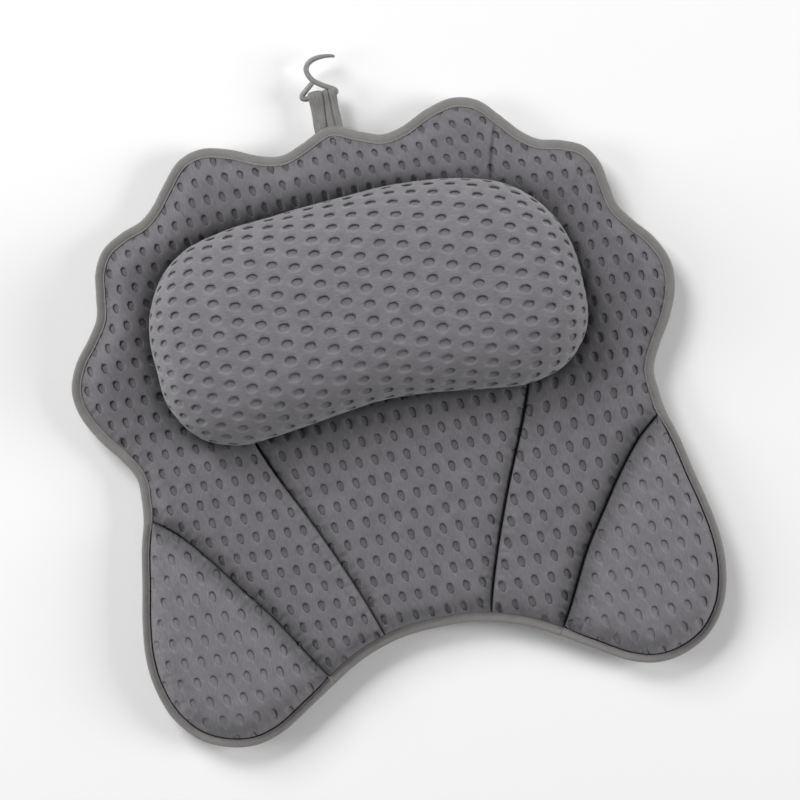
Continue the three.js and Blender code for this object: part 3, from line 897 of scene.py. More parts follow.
@dataclass(frozen=True)
class Moulded:
    """Moulded plastic or rubber with a fine grain and faint wear."""

    name: str
    colour: Colour
    roughness: float
    grain: float
    clear: float = 0.0

    def make(self) -> bpy.types.Material:
        """The material: a grain of noise, and roughness that wanders with a slower noise.

        Returns:
            The material.
        """
        n = Nodes(self.name)
        place = n.vector("SCALE", n.add("TexCoord", {}).outputs["Object"], 1000.0)
        fine = n.noise(place, 1.8, 3.0)
        slow = n.noise(place, 0.12, 2.0)
        colour = n.tinted(self.colour, n.spread(slow, 0.94, 1.05), n.spread(fine, 0.98, 1.02))
        rough = n.spread(slow, self.roughness * 0.85, self.roughness * 1.2)
        return n.finish(colour, rough, fine, self.grain, ior=1.47, transmission_weight=self.clear)


# The dimples and the finishes

ROWS = {"across": (10.497, -0.359), "down": (-4.646, -12.8)}
MAT_DIMPLES = Dimples(
    (-1.9, -38.0), **ROWS, half_width=2.12, half_height=3.6, lean=10.0, taper=0.14, depth=1.1, slope=(0.15, 0.1)
)
WING_DIMPLES = Dimples(
    (-1.9, -38.0), **ROWS, half_width=2.15, half_height=3.7, lean=12.0, taper=0.14, depth=0.75, slope=(0.5, 0.35)
)
PILLOW_DIMPLES = Dimples(
    (4.7, 36.5), across=(14.1, -4.5), down=(0.0, -10.6),
    half_width=3.9, half_height=2.8, lean=0.0, taper=0.05, depth=1.1, slope=(0.2, 0.6),
)
# The spacer meshes paint shade into the dimples' walls and floors and a highlight on their far rims, placed by where
# the light falls.
MAT_MESH = SpacerMesh(
    "mat_mesh", linear(112, 110, 114), MAT_DIMPLES,
    floor_shades=(0.8, 0.68), wall_shade=0.27, grain=(0.9, 0.22), lit_from=(0.95, 0.3), far_wall=0.75, tension=0.84,
)
WING_MESH = SpacerMesh(
    "wing_mesh", linear(119, 117, 121), WING_DIMPLES,
    floor_shades=(1.1, 0.86), wall_shade=0.3, grain=(0.9, 0.22), lit_from=(0.9, 0.35), far_wall=0.05, tension=0.9,
)
PILLOW_MESH = SpacerMesh(
    "pillow_mesh", linear(121, 119, 123), PILLOW_DIMPLES,
    floor_shades=(0.95, 0.66), wall_shade=0.25, grain=(0.22, 0.9), lit_from=(0.4, 0.92), far_wall=0.12, wall_from=0.58,
)
BACK_MESH = PlainKnit("back_mesh", linear(98, 96, 100), pitch=2.2)
TAPE = WovenTape("satin_tape", linear(133, 130, 129), rib=0.8, ribs_along=False, sheen=0.3)
STITCHED_TAPE = WovenTape("stitched_tape", linear(133, 131, 129), rib=0.8, ribs_along=False, sheen=0.3, stitch_at=6.1)
WEBBING = WovenTape("webbing", linear(124, 123, 121), rib=1.3, ribs_along=True, sheen=0.2, contrast=(0.05, 0.18))
WADDING = Wadding("wadding", (0.8, 0.79, 0.76))
HOOK_PLASTIC = Moulded("hook_plastic", linear(128, 127, 126), roughness=0.38, grain=0.05)
EYELET_PLASTIC = Moulded("eyelet_plastic", linear(78, 76, 80), roughness=0.42, grain=0.06)
CUP_RUBBER = Moulded("cup_rubber", linear(205, 208, 212), roughness=0.16, grain=0.03, clear=0.55)


# The shares that shape the mat, as in the CAD: of half its width and half its depth

CREST = (
    (0, 0.986), (0.1, 0.948), (0.17, 0.924), (0.24, 0.937), (0.33, 0.979), (0.42, 1), (0.495, 0.977),
    (0.565, 0.899), (0.61, 0.843), (0.657, 0.805), (0.73, 0.781), (0.8, 0.742), (0.84, 0.677), (0.855, 0.6),
    (0.87, 0.523), (0.91, 0.461), (0.965, 0.391), (1, 0.305), (0.995, 0.221), (0.953, 0.123),
    (0.895, 0.035), (0.86, -0.037), (0.86, -0.115), (0.868, -0.182),
)
WING = (
    (0.893, -0.272), (0.92, -0.399), (0.945, -0.51), (0.96, -0.63), (0.952, -0.74), (0.915, -0.855),
    (0.85, -0.94), (0.77, -0.985), (0.68, -1), (0.59, -0.978), (0.47, -0.908), (0.375, -0.85),
)
HEM = ((0.275, -0.794), (0.168, -0.755), (0.085, -0.739), (0, -0.736))
HEM_FOOT = 2
FOLD_SEAM = ((0.765, -0.252), (0.68, -0.357), (0.608, -0.461), (0.525, -0.582), (0.475, -0.672), (0.43, -0.755))
CHANNEL = ((0.415, -0.105), (0.32, -0.321), (0.25, -0.497), (0.2, -0.641))
BEAN = (
    (0, 1), (0.176, 1), (0.316, 0.979), (0.562, 0.911), (0.738, 0.808), (0.864, 0.629), (0.949, 0.381),
    (0.99, 0.134), (1, -0.182), (0.986, -0.512), (0.928, -0.74), (0.829, -0.911), (0.668, -1), (0.517, -0.979),
    (0.351, -0.93), (0.176, -0.891), (0, -0.874),
)
BEAN_SEAT = 12


# The right wing's fold, as in the CAD

FOLD_NORMAL = np.array([0.8085, -0.5885])


# How the rows of dimples lie on the collar and on each wing

COLLAR_PATCHES = (
    Patch((-100, -115), (-1.12, -39.89), (10.269, -0.711), (-4.948, -12.278)),
    Patch((-169, 18), (-3.09, -36.89), (10.076, -0.38), (-4.964, -12.319)),
    Patch((-70, 142), (0.16, -35.87), (9.72, 0.007), (-4.254, -12.25)),
    Patch((40, 143), (3.65, -17.85), (9.863, -0.406), (-4.146, -10.661)),
    Patch((167, 28), (-11.39, -26.74), (9.755, -0.829), (-5.594, -11.496)),
    Patch((100, -115), (-33.15, -38.64), (10.766, -0.312), (-4.981, -13.287)),
)
COLLAR_JOIN = ((105.5, 146.5), (103.7, 141.9), (99.8, 129.8), (96.9, 119.8), (95.5, 113.0))
LEFT_WING_PATCH = Patch((-140, -150), (-134.49, -156.98), (10.668, -0.738), (-5.564, -13.269))
RIGHT_WING_PATCH = Patch((140, -150), (137.57, -156.53), (10.768, -0.237), (-5.407, -13.349))


# How far the sewn mat and pillow lie off their patterns: pins in the plan and their moves

MAT_PINS = (
    (0, 167, 0.4, 0.5), (61, 164, -1.9, 0.4), (116, 146, 0.3, -1.9), (167, 109, -0.0, 0.9), (194, 51, -1.9, 0.7),
    (184, -9, 1.1, -0.4), (177, -71, 1.1, -0.5), (191, -135, -0.5, -1.4), (178, -197, 2.1, -0.9),
    (120, -214, 0.3, -1.7), (63, -181, 1.3, 0.2), (0, -166, -1.2, -0.4), (-63, -181, 0.8, 0.6),
    (-120, -214, 2.6, 0.6), (-178, -197, -0.0, 1.5), (-191, -135, 0.9, 0.1), (-177, -71, -0.2, 1.5),
    (-184, -9, 0.6, -0.0), (-194, 51, -1.4, -0.0), (-167, 109, -0.4, 0.2), (-116, 146, -1.8, 1.9),
    (-61, 164, -0.0, 0.5),
)
PILLOW_PINS = (
    (-3, 122, -0.2, -1.5), (44, 120, 0.0, 0.1), (90, 112, -1.6, 0.9), (127, 85, 0.3, -1.9), (139, 40, -0.7, 0.0),
    (129, -4, 1.4, 0.1), (89, -24, -0.7, 0.8), (42, -18, -0.7, 0.1), (-4, -14, 0.5, 0.8), (-51, -17, 0.1, -2.3),
    (-97, -22, -0.2, 0.4), (-137, -1, 2.8, -0.5), (-146, 44, 2.0, 0.7), (-133, 88, 0.6, -0.6),
    (-95, 114, 0.8, -0.1), (-49, 121, 0.2, -3.4),
)


@dataclass(frozen=True)
class Drift:
    """How a sewn piece lies a little off its pattern: pins, as x, y and the move in each, and their pull's reach."""

    pins: tuple[tuple[float, float, float, float], ...]
    reach: float

    def moved(self, places: Array, share: Array | float = 1.0) -> Array:
        """Points moved in the plan by the sum of the pins' moves, each times exp(-(distance / reach) squared).

        Args:
            places: the points, with x and y first.
            share: how much of the move they all make, or each of them.
        Returns:
            The moved points.
        """
        pins = np.array(self.pins)
        off = places[..., None, :2] - pins[:, :2]
        pull = np.exp(-(off ** 2).sum(axis=-1) / self.reach ** 2)
        places = places.copy()
        places[..., :2] += (pull @ pins[:, 2:]) * np.asarray(share)[..., None]
        return places


class Side(Enum):
    """A side of the mat, with the sign of its x."""

    LEFT = -1
    RIGHT = 1

    @property
    def word(self) -> str:
        """The side's name in the frame."""
        return self.name.lower()


@dataclass
class MatLines:
    """The mat's outline and seams, which every piece follows.

    A channel runs from point BEAN_SEAT of the bean's half to point HEM_FOOT of the hem's, counted past the wing's last.
    """

    width: float = 400.0
    depth: float = 387.5
    shift_y: float = -23.739
    tape_skin: float = 1.3
    gap: float = 0.3
    tape_widths: tuple[float, float, float] = (6.7, 5.3, 6.5)
    cloth_insets: tuple[float, float, float] = (5.5, 5.9, 6.2)
    pillow_width: float = 284.6
    pillow_depth: float = 145.5
    pillow_centre_share: float = 0.3768
    pillow_tuck: float = 9.0
    pillow_off: Pair = (-3.4, 0.2)
    steps: int = 16
    drift: Drift = Drift(MAT_PINS, 55.0)
    edge: Array = field(init=False)
    lobe_edge: Array = field(init=False)
    cloth_edge: Array = field(init=False)
    bean: Array = field(init=False)
    base_seam: Array = field(init=False)
    fold: Array = field(init=False)
    channel: Array = field(init=False)
    waist: int = field(init=False)
    corner: int = field(init=False)
    foot: int = field(init=False)
    hem: int = field(init=False)
    seat: int = field(init=False)

    def __post_init__(self) -> None:
        """Work out the lines from the shares, and the numbers of the points at which they meet."""
        half = self.on_mat(CREST + WING + HEM)
        self.edge = smooth_through(np.concatenate([half, mirrored(half)[1:-1]]), self.steps, closed=True)
        self.waist = (len(CREST) - 1) * self.steps
        self.corner = self.waist + len(WING) * self.steps
        self.foot = self.corner + HEM_FOOT * self.steps
        self.hem = self.corner + len(HEM) * self.steps
        self.lobe_edge = inset(self.edge, self.along_edge(*self.cloth_insets))
        self.cloth_edge = inset(self.edge, self.tape_skin + self.gap)
        shape = np.array(BEAN) * (self.pillow_width / 2, self.pillow_depth / 2) + (0, self.pillow_y)
        self.bean = smooth_through(np.concatenate([shape, mirrored(shape)[1:-1]]), self.steps, closed=True)
        self.base_seam = inset(self.bean, self.pillow_tuck)
        self.seat = BEAN_SEAT * self.steps
        ends = (self.lobe_edge[self.waist:self.waist + 1], self.lobe_edge[self.corner:self.corner + 1])
        self.fold = smooth_through(np.concatenate([ends[0], self.on_mat(FOLD_SEAM), ends[1]]), self.steps)
        ends = (self.base_seam[self.seat:self.seat + 1], self.lobe_edge[self.foot:self.foot + 1])
        self.channel = smooth_through(np.concatenate([ends[0], self.on_mat(CHANNEL), ends[1]]), self.steps)

    def along_edge(self, crest: float, wing: float, hem: float) -> Array:
        """A value for each point of the edge, which changes over 20 points at the waist and 16 at the wing's corner.

        Args:
            crest: the value along the crest.
            wing: the value along a wing.
            hem: the value along the hem.
        Returns:
            The values.
        """
        index = np.arange(len(self.edge))
        index = np.minimum(index, len(self.edge) - index)
        value = crest + (wing - crest) * smoothstep(self.waist - 8, self.waist + 12, index)
        return value + (hem - value) * smoothstep(self.corner - 12, self.corner + 4, index)

    @property
    def pillow_y(self) -> float:
        """The y of the pillow's middle."""
        return self.pillow_centre_share * self.depth / 2 + self.shift_y

    def on_mat(self, shares: Sequence[Pair]) -> Array:
        """Plan points from shares of the mat's half sizes."""
        return np.array(shares) * (self.width / 2, self.depth / 2) + (0, self.shift_y)

    @staticmethod
    def centred(outline: Array, share: float, middle_y: float) -> Array:
        """An outline made smaller about a middle point on the mat's middle line."""
        return (outline - (0, middle_y)) * share + (0, middle_y)


@dataclass
class Heights:
    """Heights above the plane of the cup rims, as in the CAD."""

    back_floor: float = 10.8
    front_floor: float = 13.1
    seam: float = 16.1
    tape_floor: float = 9.2
    tape_top: float = 17.7
    edge_middle: float = 13.45
    pillow_base: float = 16.4
    pillow_waist: float = 40.4


@dataclass
class Sewn:
    """What every part of the pillow follows: the mat's lines and the heights."""

    lines: MatLines
    heights: Heights


def spacing() -> float:
    return 1.1


def rows_between(count: int, crowding: float = 0.35) -> Array:
    """Shares from 0 to 1 that crowd towards both ends: a blend of even steps and a half cosine wave."""
    t = np.linspace(0.0, 1.0, count)
    return t * (1 - crowding) + crowding * (0.5 - 0.5 * np.cos(math.pi * t))


@dataclass(frozen=True)
class Slope:
    """How a lobe rises beside a seam: lift + (rise - lift) * (1 - (1 - distance / reach) ^ power) ^ roundness.

    Its cloth gets painted shade there: shade * exp(-(distance / spread) ^ 2.5).
    """

    reach: float
    power: float
    roundness: float
    lift: float = 0.0
    shade: float = 0.0
    spread: float = 8.0

    def height(self, distance: Array, rise: float) -> Array:
        """The height above the seam at some distances from it."""
        share = (1 - (1 - np.clip(distance / self.reach, 0, 1)) ** self.power) ** self.roundness
        return self.lift + (rise - self.lift) * share

    def shaded(self, distance: Array) -> Array:
        """How much painted shade the cloth gets at some distances from the seam."""
        return self.shade * np.exp(-(distance / self.spread) ** 2.5)


class Seam(Enum):
    """The ways in which a lobe meets its seams."""

    # The shades are painted shade: in the stitched seams' grooves, in the contact shadow under the pillow, and along
    # the taped edges where the lobes slope down.
    FOLD_INSIDE = Slope(30.0, 1.7, 1.0, lift=3.0, shade=0.5, spread=8.5)
    FOLD_OUTSIDE = Slope(30.0, 1.7, 0.9, lift=5.0, shade=0.5, spread=8.0)
    CHANNEL_INSIDE = Slope(17.0, 1.9, 1.0, lift=7.0, shade=0.42, spread=5.5)
    CHANNEL_OUTSIDE = Slope(18.0, 2.4, 0.9, lift=11.0)
    UNDER_PILLOW = Slope(34.0, 2.0, 1.15, shade=0.7, spread=14.0)
    CREST = Slope(26.0, 2.0, 1.45)
    TAPED = Slope(28.0, 2.4, 0.75, shade=0.12, spread=12.0)

    @property
    def stitched(self) -> bool:
        """Whether the seam lies between two lobes."""
        return self.value.lift > 0


@dataclass
class Lobe:
    """A padded lobe: its plan as a grid, the seams round it, how its rows of dimples lie, and joins in its cloth."""

    grid: Array
    seams: list[tuple[Seam, Array]]
    patches: Sequence[Patch] = ()
    joins: Sequence[Array] = ()


@dataclass
class QuiltedMat(Sewn):
    """The padded front of the mat: the collar, the middle lobe and the two wings, with the wadding inside them.

    A lobe's grid has as many steps along a side as the side's length, in whole millimetres below, holds steps.
    """

    cloth: bpy.types.Material
    wing_cloth: bpy.types.Material
    wadding: bpy.types.Material
    dimples: Dimples
    wing_dimples: Dimples
    rise: float = 20.5
    blend: float = 4.0
    crease_width: float = 0.7
    pucker: float = 1.0
    pucker_reach: float = 7.0
    pucker_waves: Pair = (7.2, 3.7)
    swell: float = 0.8
    swell_waves: Pair = (61.0, 47.0)
    join_depth: float = 1.2
    join_width: float = 1.1
    cloth_thickness: float = 4.4
    wadding_inset: float = 6.0

    def collar(self, step: float) -> Lobe:
        """The collar: from the channels and the pillow's base seam out to the edge and the fold seams.

        Args:
            step: about how far apart its grid lines are.
        Returns:
            The lobe.
        """
        k = self.lines
        beside, round_it = int(155 / step), int(430 / step)
        seat_side = k.base_seam[:k.seat + 1]
        inner = np.concatenate([evenly(seat_side, round_it), evenly(k.channel, beside)[1:]])
        outer = np.concatenate([evenly(k.lobe_edge[:k.waist + 1], round_it), evenly(k.fold, beside)[1:]])
        hem = k.lobe_edge[k.corner:k.foot + 1][::-1]
        rows = rows_between(int(56 / step))
        grid = coons(across_middle(inner), across_middle(outer), mirrored(hem)[::-1], hem, rows)
        seams = [
            (Seam.UNDER_PILLOW, across_middle(seat_side) + k.pillow_off),
            (Seam.CREST, across_middle(k.lobe_edge[:k.waist + 1])),
        ]
        for flip in ((1, 1), (-1, 1)):
            seams.append((Seam.CHANNEL_OUTSIDE, k.channel * flip))
            seams.append((Seam.FOLD_INSIDE, k.fold * flip))
            seams.append((Seam.TAPED, hem * flip))
        return Lobe(grid, seams, COLLAR_PATCHES, [np.array(COLLAR_JOIN)])

    def middle(self, step: float) -> Lobe:
        """The middle lobe, between the channels.

        Args:
            step: about how far apart its grid lines are.
        Returns:
            The lobe.
        """
        k = self.lines
        up = evenly(k.channel[::-1], int(150 / step))
        hem = across_middle(k.lobe_edge[k.foot:k.hem + 1][::-1])
        seat = across_middle(k.base_seam[k.seat:(len(BEAN) - 1) * k.steps + 1][::-1])
        grid = coons(up * (-1, 1), up, hem, seat, rows_between(int(112 / step)))
        seams = [(Seam.CHANNEL_INSIDE, up), (Seam.CHANNEL_INSIDE, up * (-1, 1)), (Seam.TAPED, hem)]
        seams.append((Seam.UNDER_PILLOW, seat + k.pillow_off))
        return Lobe(grid, seams)

    def wing(self, step: float, side: Side) -> Lobe:
        """A wing, from just outside its fold seam out to the edge, a little short of the fold's ends.

        Args:
            step: about how far apart its grid lines are.
            side: the wing's side.
        Returns:
            The lobe.
        """
        k = self.lines
        tip = 2
        outer = evenly(k.lobe_edge[k.waist + tip:k.corner - tip], int(215 / step))
        inner = at_shares(k.fold, np.linspace(0.008, 0.992, len(outer))) + FOLD_NORMAL * 0.5
        ends = np.stack([inner[0], outer[0]]), np.stack([inner[-1], outer[-1]])
        flip = (side.value, 1)
        grid = coons(inner, outer, ends[0], ends[1], rows_between(int(78 / step))) * flip
        patch = RIGHT_WING_PATCH if side is Side.RIGHT else LEFT_WING_PATCH
        return Lobe(grid, [(Seam.FOLD_OUTSIDE, inner * flip), (Seam.TAPED, outer * flip)], (patch,))

    def over_seams(self, lobe: Lobe) -> tuple[Array, Array, Array, Array]:
        """How a lobe lies over its plan before its cloth ripples.

        Its height above the seams is a soft least of what its seams' slopes give: (the sum of height ^ -blend) ^
        (-1 / blend), with its ridges eased away from the seams.

        Args:
            lobe: the plan and the seams.
        Returns:
            For each point of the plan: the height, the distance to the nearest seam, the place along that seam, and the
                share of light that the seams leave, which the colour takes as painted shade.
        """
        grid, shape = lobe.grid, lobe.grid.shape[:2]
        least, away, clear, where = np.zeros(shape), np.full(shape, np.inf), np.ones(shape), np.zeros(shape)
        for seam, line in lobe.seams:
            thin = evenly(line, max(2, int(run_of(line)[-1] / 2.5)))
            distance, place = (v.reshape(shape) for v in nearest(grid.reshape(-1, 2), thin, closed=False))
            least += np.maximum(seam.value.height(distance, self.rise), 0.01) ** -self.blend
            where = np.where(distance < away, place, where)
            away = np.minimum(away, distance)
            # painted shade beside each seam and in the pillow's contact shadow
            clear *= 1 - seam.value.shaded(distance)
            # painted shade: a narrow dark line down each stitched seam
            if seam.stitched:
                clear *= 1 - np.exp(-(distance / self.crease_width) ** 2)
        rim = np.ones(shape, bool)
        rim[1:-1, 1:-1] = False
        height, away = np.where(rim, 0.0, least ** (-1 / self.blend)), np.where(rim, 0.0, away)
        soft = eased(height, int(9 / spacing()))
        return height + (soft - height) * smoothstep(3, 10, away), away, where, clear

    def form(self, lobe: Lobe, dimples: Optional[Dimples], lower: float = 0.0, seed: int = 1) -> Surface:
        """A padded lobe over its plan.

        Close to the seams it puckers: two ripples along the seam times exp(-((distance - 0.45 reach) / 0.75 reach)
        squared). Away from them it swells by a product of two long ripples. The dimples press it in along its normal,
        and each join in its cloth is a narrow groove with painted shade along it.

        Args:
            lobe: the plan and the seams.
            dimples: the dimples of its cloth, or none.
            lower: how far it lies below the cloth's face.
            seed: for the ripples.
        Returns:
            The closed shell.
        """
        grid, shape = lobe.grid, lobe.grid.shape[:2]
        height, away, where, clear = self.over_seams(lobe)
        near = np.exp(-((away - 0.45 * self.pucker_reach) / (0.75 * self.pucker_reach)) ** 2)
        long, short = self.pucker_waves
        pleats = ripple(where, long, seed) + 0.45 * ripple(where, short, seed + 9)
        fold = near * smoothstep(0.2, 3.0, away) * pleats
        x, y = grid[..., 0], grid[..., 1]
        swell = self.swell * ripple(x + 0.3 * y, self.swell_waves[0], seed) * ripple(y, self.swell_waves[1], seed + 1)
        height = height + self.pucker * fold + swell * smoothstep(4, 26, away)
        points = np.concatenate([grid, (self.heights.seam - lower + height)[..., None]], axis=2)
        cloth = grid
        if dimples:
            cloth = dimples.cloth_on(grid, lobe.patches)
            hollow = dimples.hollow(cloth) * smoothstep(0.8, 4.0, away)
            normal = normals_of(points)
            normal *= np.sign(normal[..., 2:])
            points = points - normal * hollow[..., None]
        for join in lobe.joins:
            distance = nearest(grid.reshape(-1, 2), join, closed=False)[0].reshape(shape)
            points[..., 2] -= self.join_depth * np.exp(-(distance / self.join_width) ** 2)
            # painted shade along the join's groove
            clear *= 1 - 0.95 * np.exp(-(distance / 0.85) ** 2) * (0.75 + 0.25 * ripple(y, 14, seed))
        surface = closed_below(self.lines.drift.moved(points), cloth, self.heights.front_floor + 0.1)
        # the painted shade that each point gets, none on the walls below
        crease = 1 - clear.ravel()
        surface.crease = np.concatenate([crease, np.zeros(len(surface.points) - len(crease))])
        return surface

    def build_front(self) -> None:
        """The cover of the collar and the middle lobe."""
        step = spacing()
        lobes = [self.form(self.collar(step), self.dimples, seed=3), self.form(self.middle(step), self.dimples, seed=5)]
        piece = make_piece("mat_front", Surface.joined(lobes), self.cloth)
        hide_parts("front_cover")
        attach(piece, "mat")

    def build_wing(self, side: Side) -> None:
        """A wing's cover, from just outside the fold seam out to the edge.

        Args:
            side: the wing's side.
        """
        surface = self.form(self.wing(spacing(), side), self.wing_dimples, seed=7 + side.value)
        piece = make_piece(f"{side.word}_wing_front", surface, self.wing_cloth)
        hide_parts(f"{side.word}_wing_cover")
        bend_at_fold(piece)

    def drawn_in(self, surface: Surface, grid: Array) -> None:
        """Make a wadding's shell smaller: each point moves towards its column's middle, above the front's floor.

        Args:
            surface: the shell.
            grid: the plan it stands on.
        """
        rows, columns = grid.shape[:2]
        top = surface.points[:rows * columns]
        top[:, 2] = np.maximum(top[:, 2], self.heights.front_floor + 0.4)
        off = grid.mean(axis=0, keepdims=True) - grid
        far = np.maximum(np.linalg.norm(off, axis=2, keepdims=True), 12.0)
        top[:, :2] += (off * (self.wadding_inset / far)).reshape(-1, 2)
        surface.points[rows * columns:, :2] = top[rim_of(rows, columns), :2]

    def build_wadding(self) -> None:
        """The wadding inside each lobe: the same form, smaller by the cloth's thickness."""
        step = 6.0
        fills = {
            "collar": (self.collar(step), "mat"),
            "middle": (self.middle(step), "mat"),
            "left_wing": (self.wing(step, Side.LEFT), "left_wing"),
            "right_wing": (self.wing(step, Side.RIGHT), "right_wing"),
        }
        for name, (lobe, body) in fills.items():
            surface = self.form(lobe, None, lower=self.cloth_thickness + 1.0)
            self.drawn_in(surface, lobe.grid)
            piece = make_piece(f"{name}_wadding", surface, self.wadding)
            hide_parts(f"{name}_padding")
            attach(piece, body)


def bend_at_fold(piece: bpy.types.Object) -> None:
    """Bake a piece's place into its mesh; it does not bend at the fold.

    Args:
        piece: the piece.
    """
    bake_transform(piece)


@dataclass
class NeckPillow(Sewn):
    """The bean-shaped neck roll: its cloth and its filling."""

    cloth: bpy.types.Material
    wadding: bpy.types.Material
    dimples: Dimples
    crown: float = 42.0
    waist: float = 24.0
    spine_share: float = 0.58
    spine_drop: float = 15.0
    spine_rise: float = 4.6
    plan_power: float = 2.6
    height_power: float = 0.5
    gather: float = 0.9
    gather_reach: float = 8.0
    gather_wave: float = 9.0
    swell: float = 0.9
    filling_share: float = 0.965
    filling_inset: float = 4.4
    sewn_turn: float = -0.65
    drift: Drift = Drift(PILLOW_PINS, 45.0)

    def rings(self, outline: Array, crown_steps: int, under_steps: int, inward: float = 0.0) -> tuple[Array, Array]:
        """The pillow's rings, from the base seam out to the waist and over the crown to the spine.

        Each outline point has a spine point, whose x is a share of its own; a ring's plan is spine + t * (outline -
        spine), where t is the 0.9th power of an even turn's cosine. Over the crown the height is crown * (1 - t ^
        plan_power) ^ height_power. Below the waist the height is a turn's sine, and the plan draws in by the tuck
        times (1 - its cosine) ^ 1.15.

        Args:
            outline: the waist's plan.
            crown_steps: how many rings lie above the waist.
            under_steps: how many lie below it.
            inward: how far inside the cloth's face the form lies.
        Returns:
            The rings' points, and their cloth coordinates.
        """
        k = self.lines
        spine_x = outline[:, 0] * self.spine_share
        reach = k.pillow_width / 2 * self.spine_share
        spine = np.stack([spine_x, k.pillow_y + self.spine_rise - self.spine_drop * (spine_x / reach) ** 2], axis=1)
        turn = np.linspace(0, math.pi / 2, crown_steps + 1)
        t = np.cos(turn) ** 0.9
        t[-1] = 0.0
        waist = self.heights.pillow_waist
        rise = (self.crown - inward) * (1 - t ** self.plan_power) ** self.height_power
        plan = spine[None] + t[:, None, None] * (outline - spine)[None]
        crown = np.concatenate([plan, np.broadcast_to((waist + rise)[:, None, None], (*plan.shape[:2], 1))], axis=2)
        turn = np.linspace(math.pi / 2, 0, under_steps + 1)[:-1]
        drop = (self.waist - inward) * np.sin(turn)
        tuck = (k.pillow_tuck + inward * 0.3) * (1 - np.cos(turn)) ** 1.15
        under = [np.column_stack([inset(outline, d), np.full(len(outline), waist - h)]) for d, h in zip(tuck, drop)]
        rings = np.concatenate([np.stack(under), crown])
        step = np.linalg.norm(np.diff(rings, axis=0), axis=2)
        run = np.concatenate([np.zeros((1, len(outline))), np.cumsum(step, axis=0)])
        run = run[-1:] - run
        way = outline - spine
        way = way / np.linalg.norm(way, axis=1, keepdims=True)
        return rings, spine[None] + way[None] * run[..., None]

    def build_cover(self) -> None:
        """The cloth, with its dimples pressed in along the normals, and wrinkles where it is gathered at its base."""
        step = spacing()
        outline = self.waist_line(int(400 / step))
        rings, cloth = self.rings(outline, int(92 / step), int(28 / step))
        normal = normals_of(rings, wraps=True)
        from_middle = rings[..., :2] - (0, self.lines.pillow_y)
        normal *= np.sign(np.einsum("ijk,ijk->", normal[..., :2], from_middle))
        normal[-1] = (0, 0, 1)
        away = np.abs(rings[..., 2] - self.heights.pillow_base)
        hollow = self.dimples.hollow(cloth) * smoothstep(1.0, 6.0, away)
        along = np.broadcast_to(run_of(outline)[None], rings.shape[:2])
        gather = np.exp(-away / self.gather_reach) * smoothstep(0.0, 2.0, away) * ripple(along, self.gather_wave, 21)
        x, y = cloth[..., 0], cloth[..., 1]
        swell = self.swell * ripple(x, 74, 31) * ripple(y + 0.2 * x, 52, 32)
        rings = rings + normal * (self.gather * gather + swell * smoothstep(2, 14, away) - hollow)[..., None]
        across_spine = (-np.arange(len(outline))) % len(outline)
        rings[-1] = 0.5 * (rings[-1] + rings[-1][across_spine])
        surface = self.closed_at_spine(self.as_sewn(rings), cloth)
        piece = make_piece("neck_pillow", surface, self.cloth, merge=0.01)
        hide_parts("pillow_cover")
        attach(piece, "mat")

    def waist_line(self, half: int) -> Array:
        """The waist's outline, clockwise from its left end: x is the sine of even turns, the same above and below.

        Args:
            half: how many steps its upper side has, and its lower side.
        Returns:
            The outline.
        """
        bean = self.lines.bean
        right, left = bean[:, 0].argmax(), bean[:, 0].argmin()
        above = np.concatenate([bean[left:], bean[:right + 1]])
        below = bean[right:left + 1][::-1]
        x = bean[right, 0] * np.sin(np.linspace(-math.pi / 2, math.pi / 2, half + 1))
        upper, lower = (np.column_stack([x, np.interp(x, line[:, 0], line[:, 1])]) for line in (above, below))
        return np.concatenate([upper, lower[1:-1][::-1]])

    def as_sewn(self, rings: Array) -> Array:
        """The rings turned a little and moved off the middle, as the pillow was sewn on.

        Args:
            rings: the rings.
        Returns:
            The moved rings.
        """
        turn = math.radians(self.sewn_turn)
        way = np.array([[math.cos(turn), math.sin(turn)], [-math.sin(turn), math.cos(turn)]])
        middle = np.array([0.0, self.lines.pillow_y])
        rings = rings.copy()
        rings[..., :2] = (rings[..., :2] - middle) @ way + middle + self.lines.pillow_off
        return self.drift.moved(rings)

    def closed_at_spine(self, rings: Array, cloth: Array) -> Surface:
        """The shell over the rings: a face closes the base, and the last ring meets itself along the spine.

        Args:
            rings: the rings, from the base up.
            cloth: their cloth coordinates.
        Returns:
            The shell.
        """
        surface = ring_surface(rings, cloth)
        surface.faces.pop()
        return surface

    def build_filling(self) -> None:
        """The filling: the same form, smaller."""
        outline = self.waist_line(80)
        outline = self.lines.centred(outline, self.filling_share, self.lines.pillow_y)
        rings, cloth = self.rings(outline, 14, 6, inward=self.filling_inset)
        surface = self.closed_at_spine(self.as_sewn(rings), cloth)
        piece = make_piece("pillow_filling", surface, self.wadding, merge=0.01)
        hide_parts("pillow_fill")
        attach(piece, "mat")


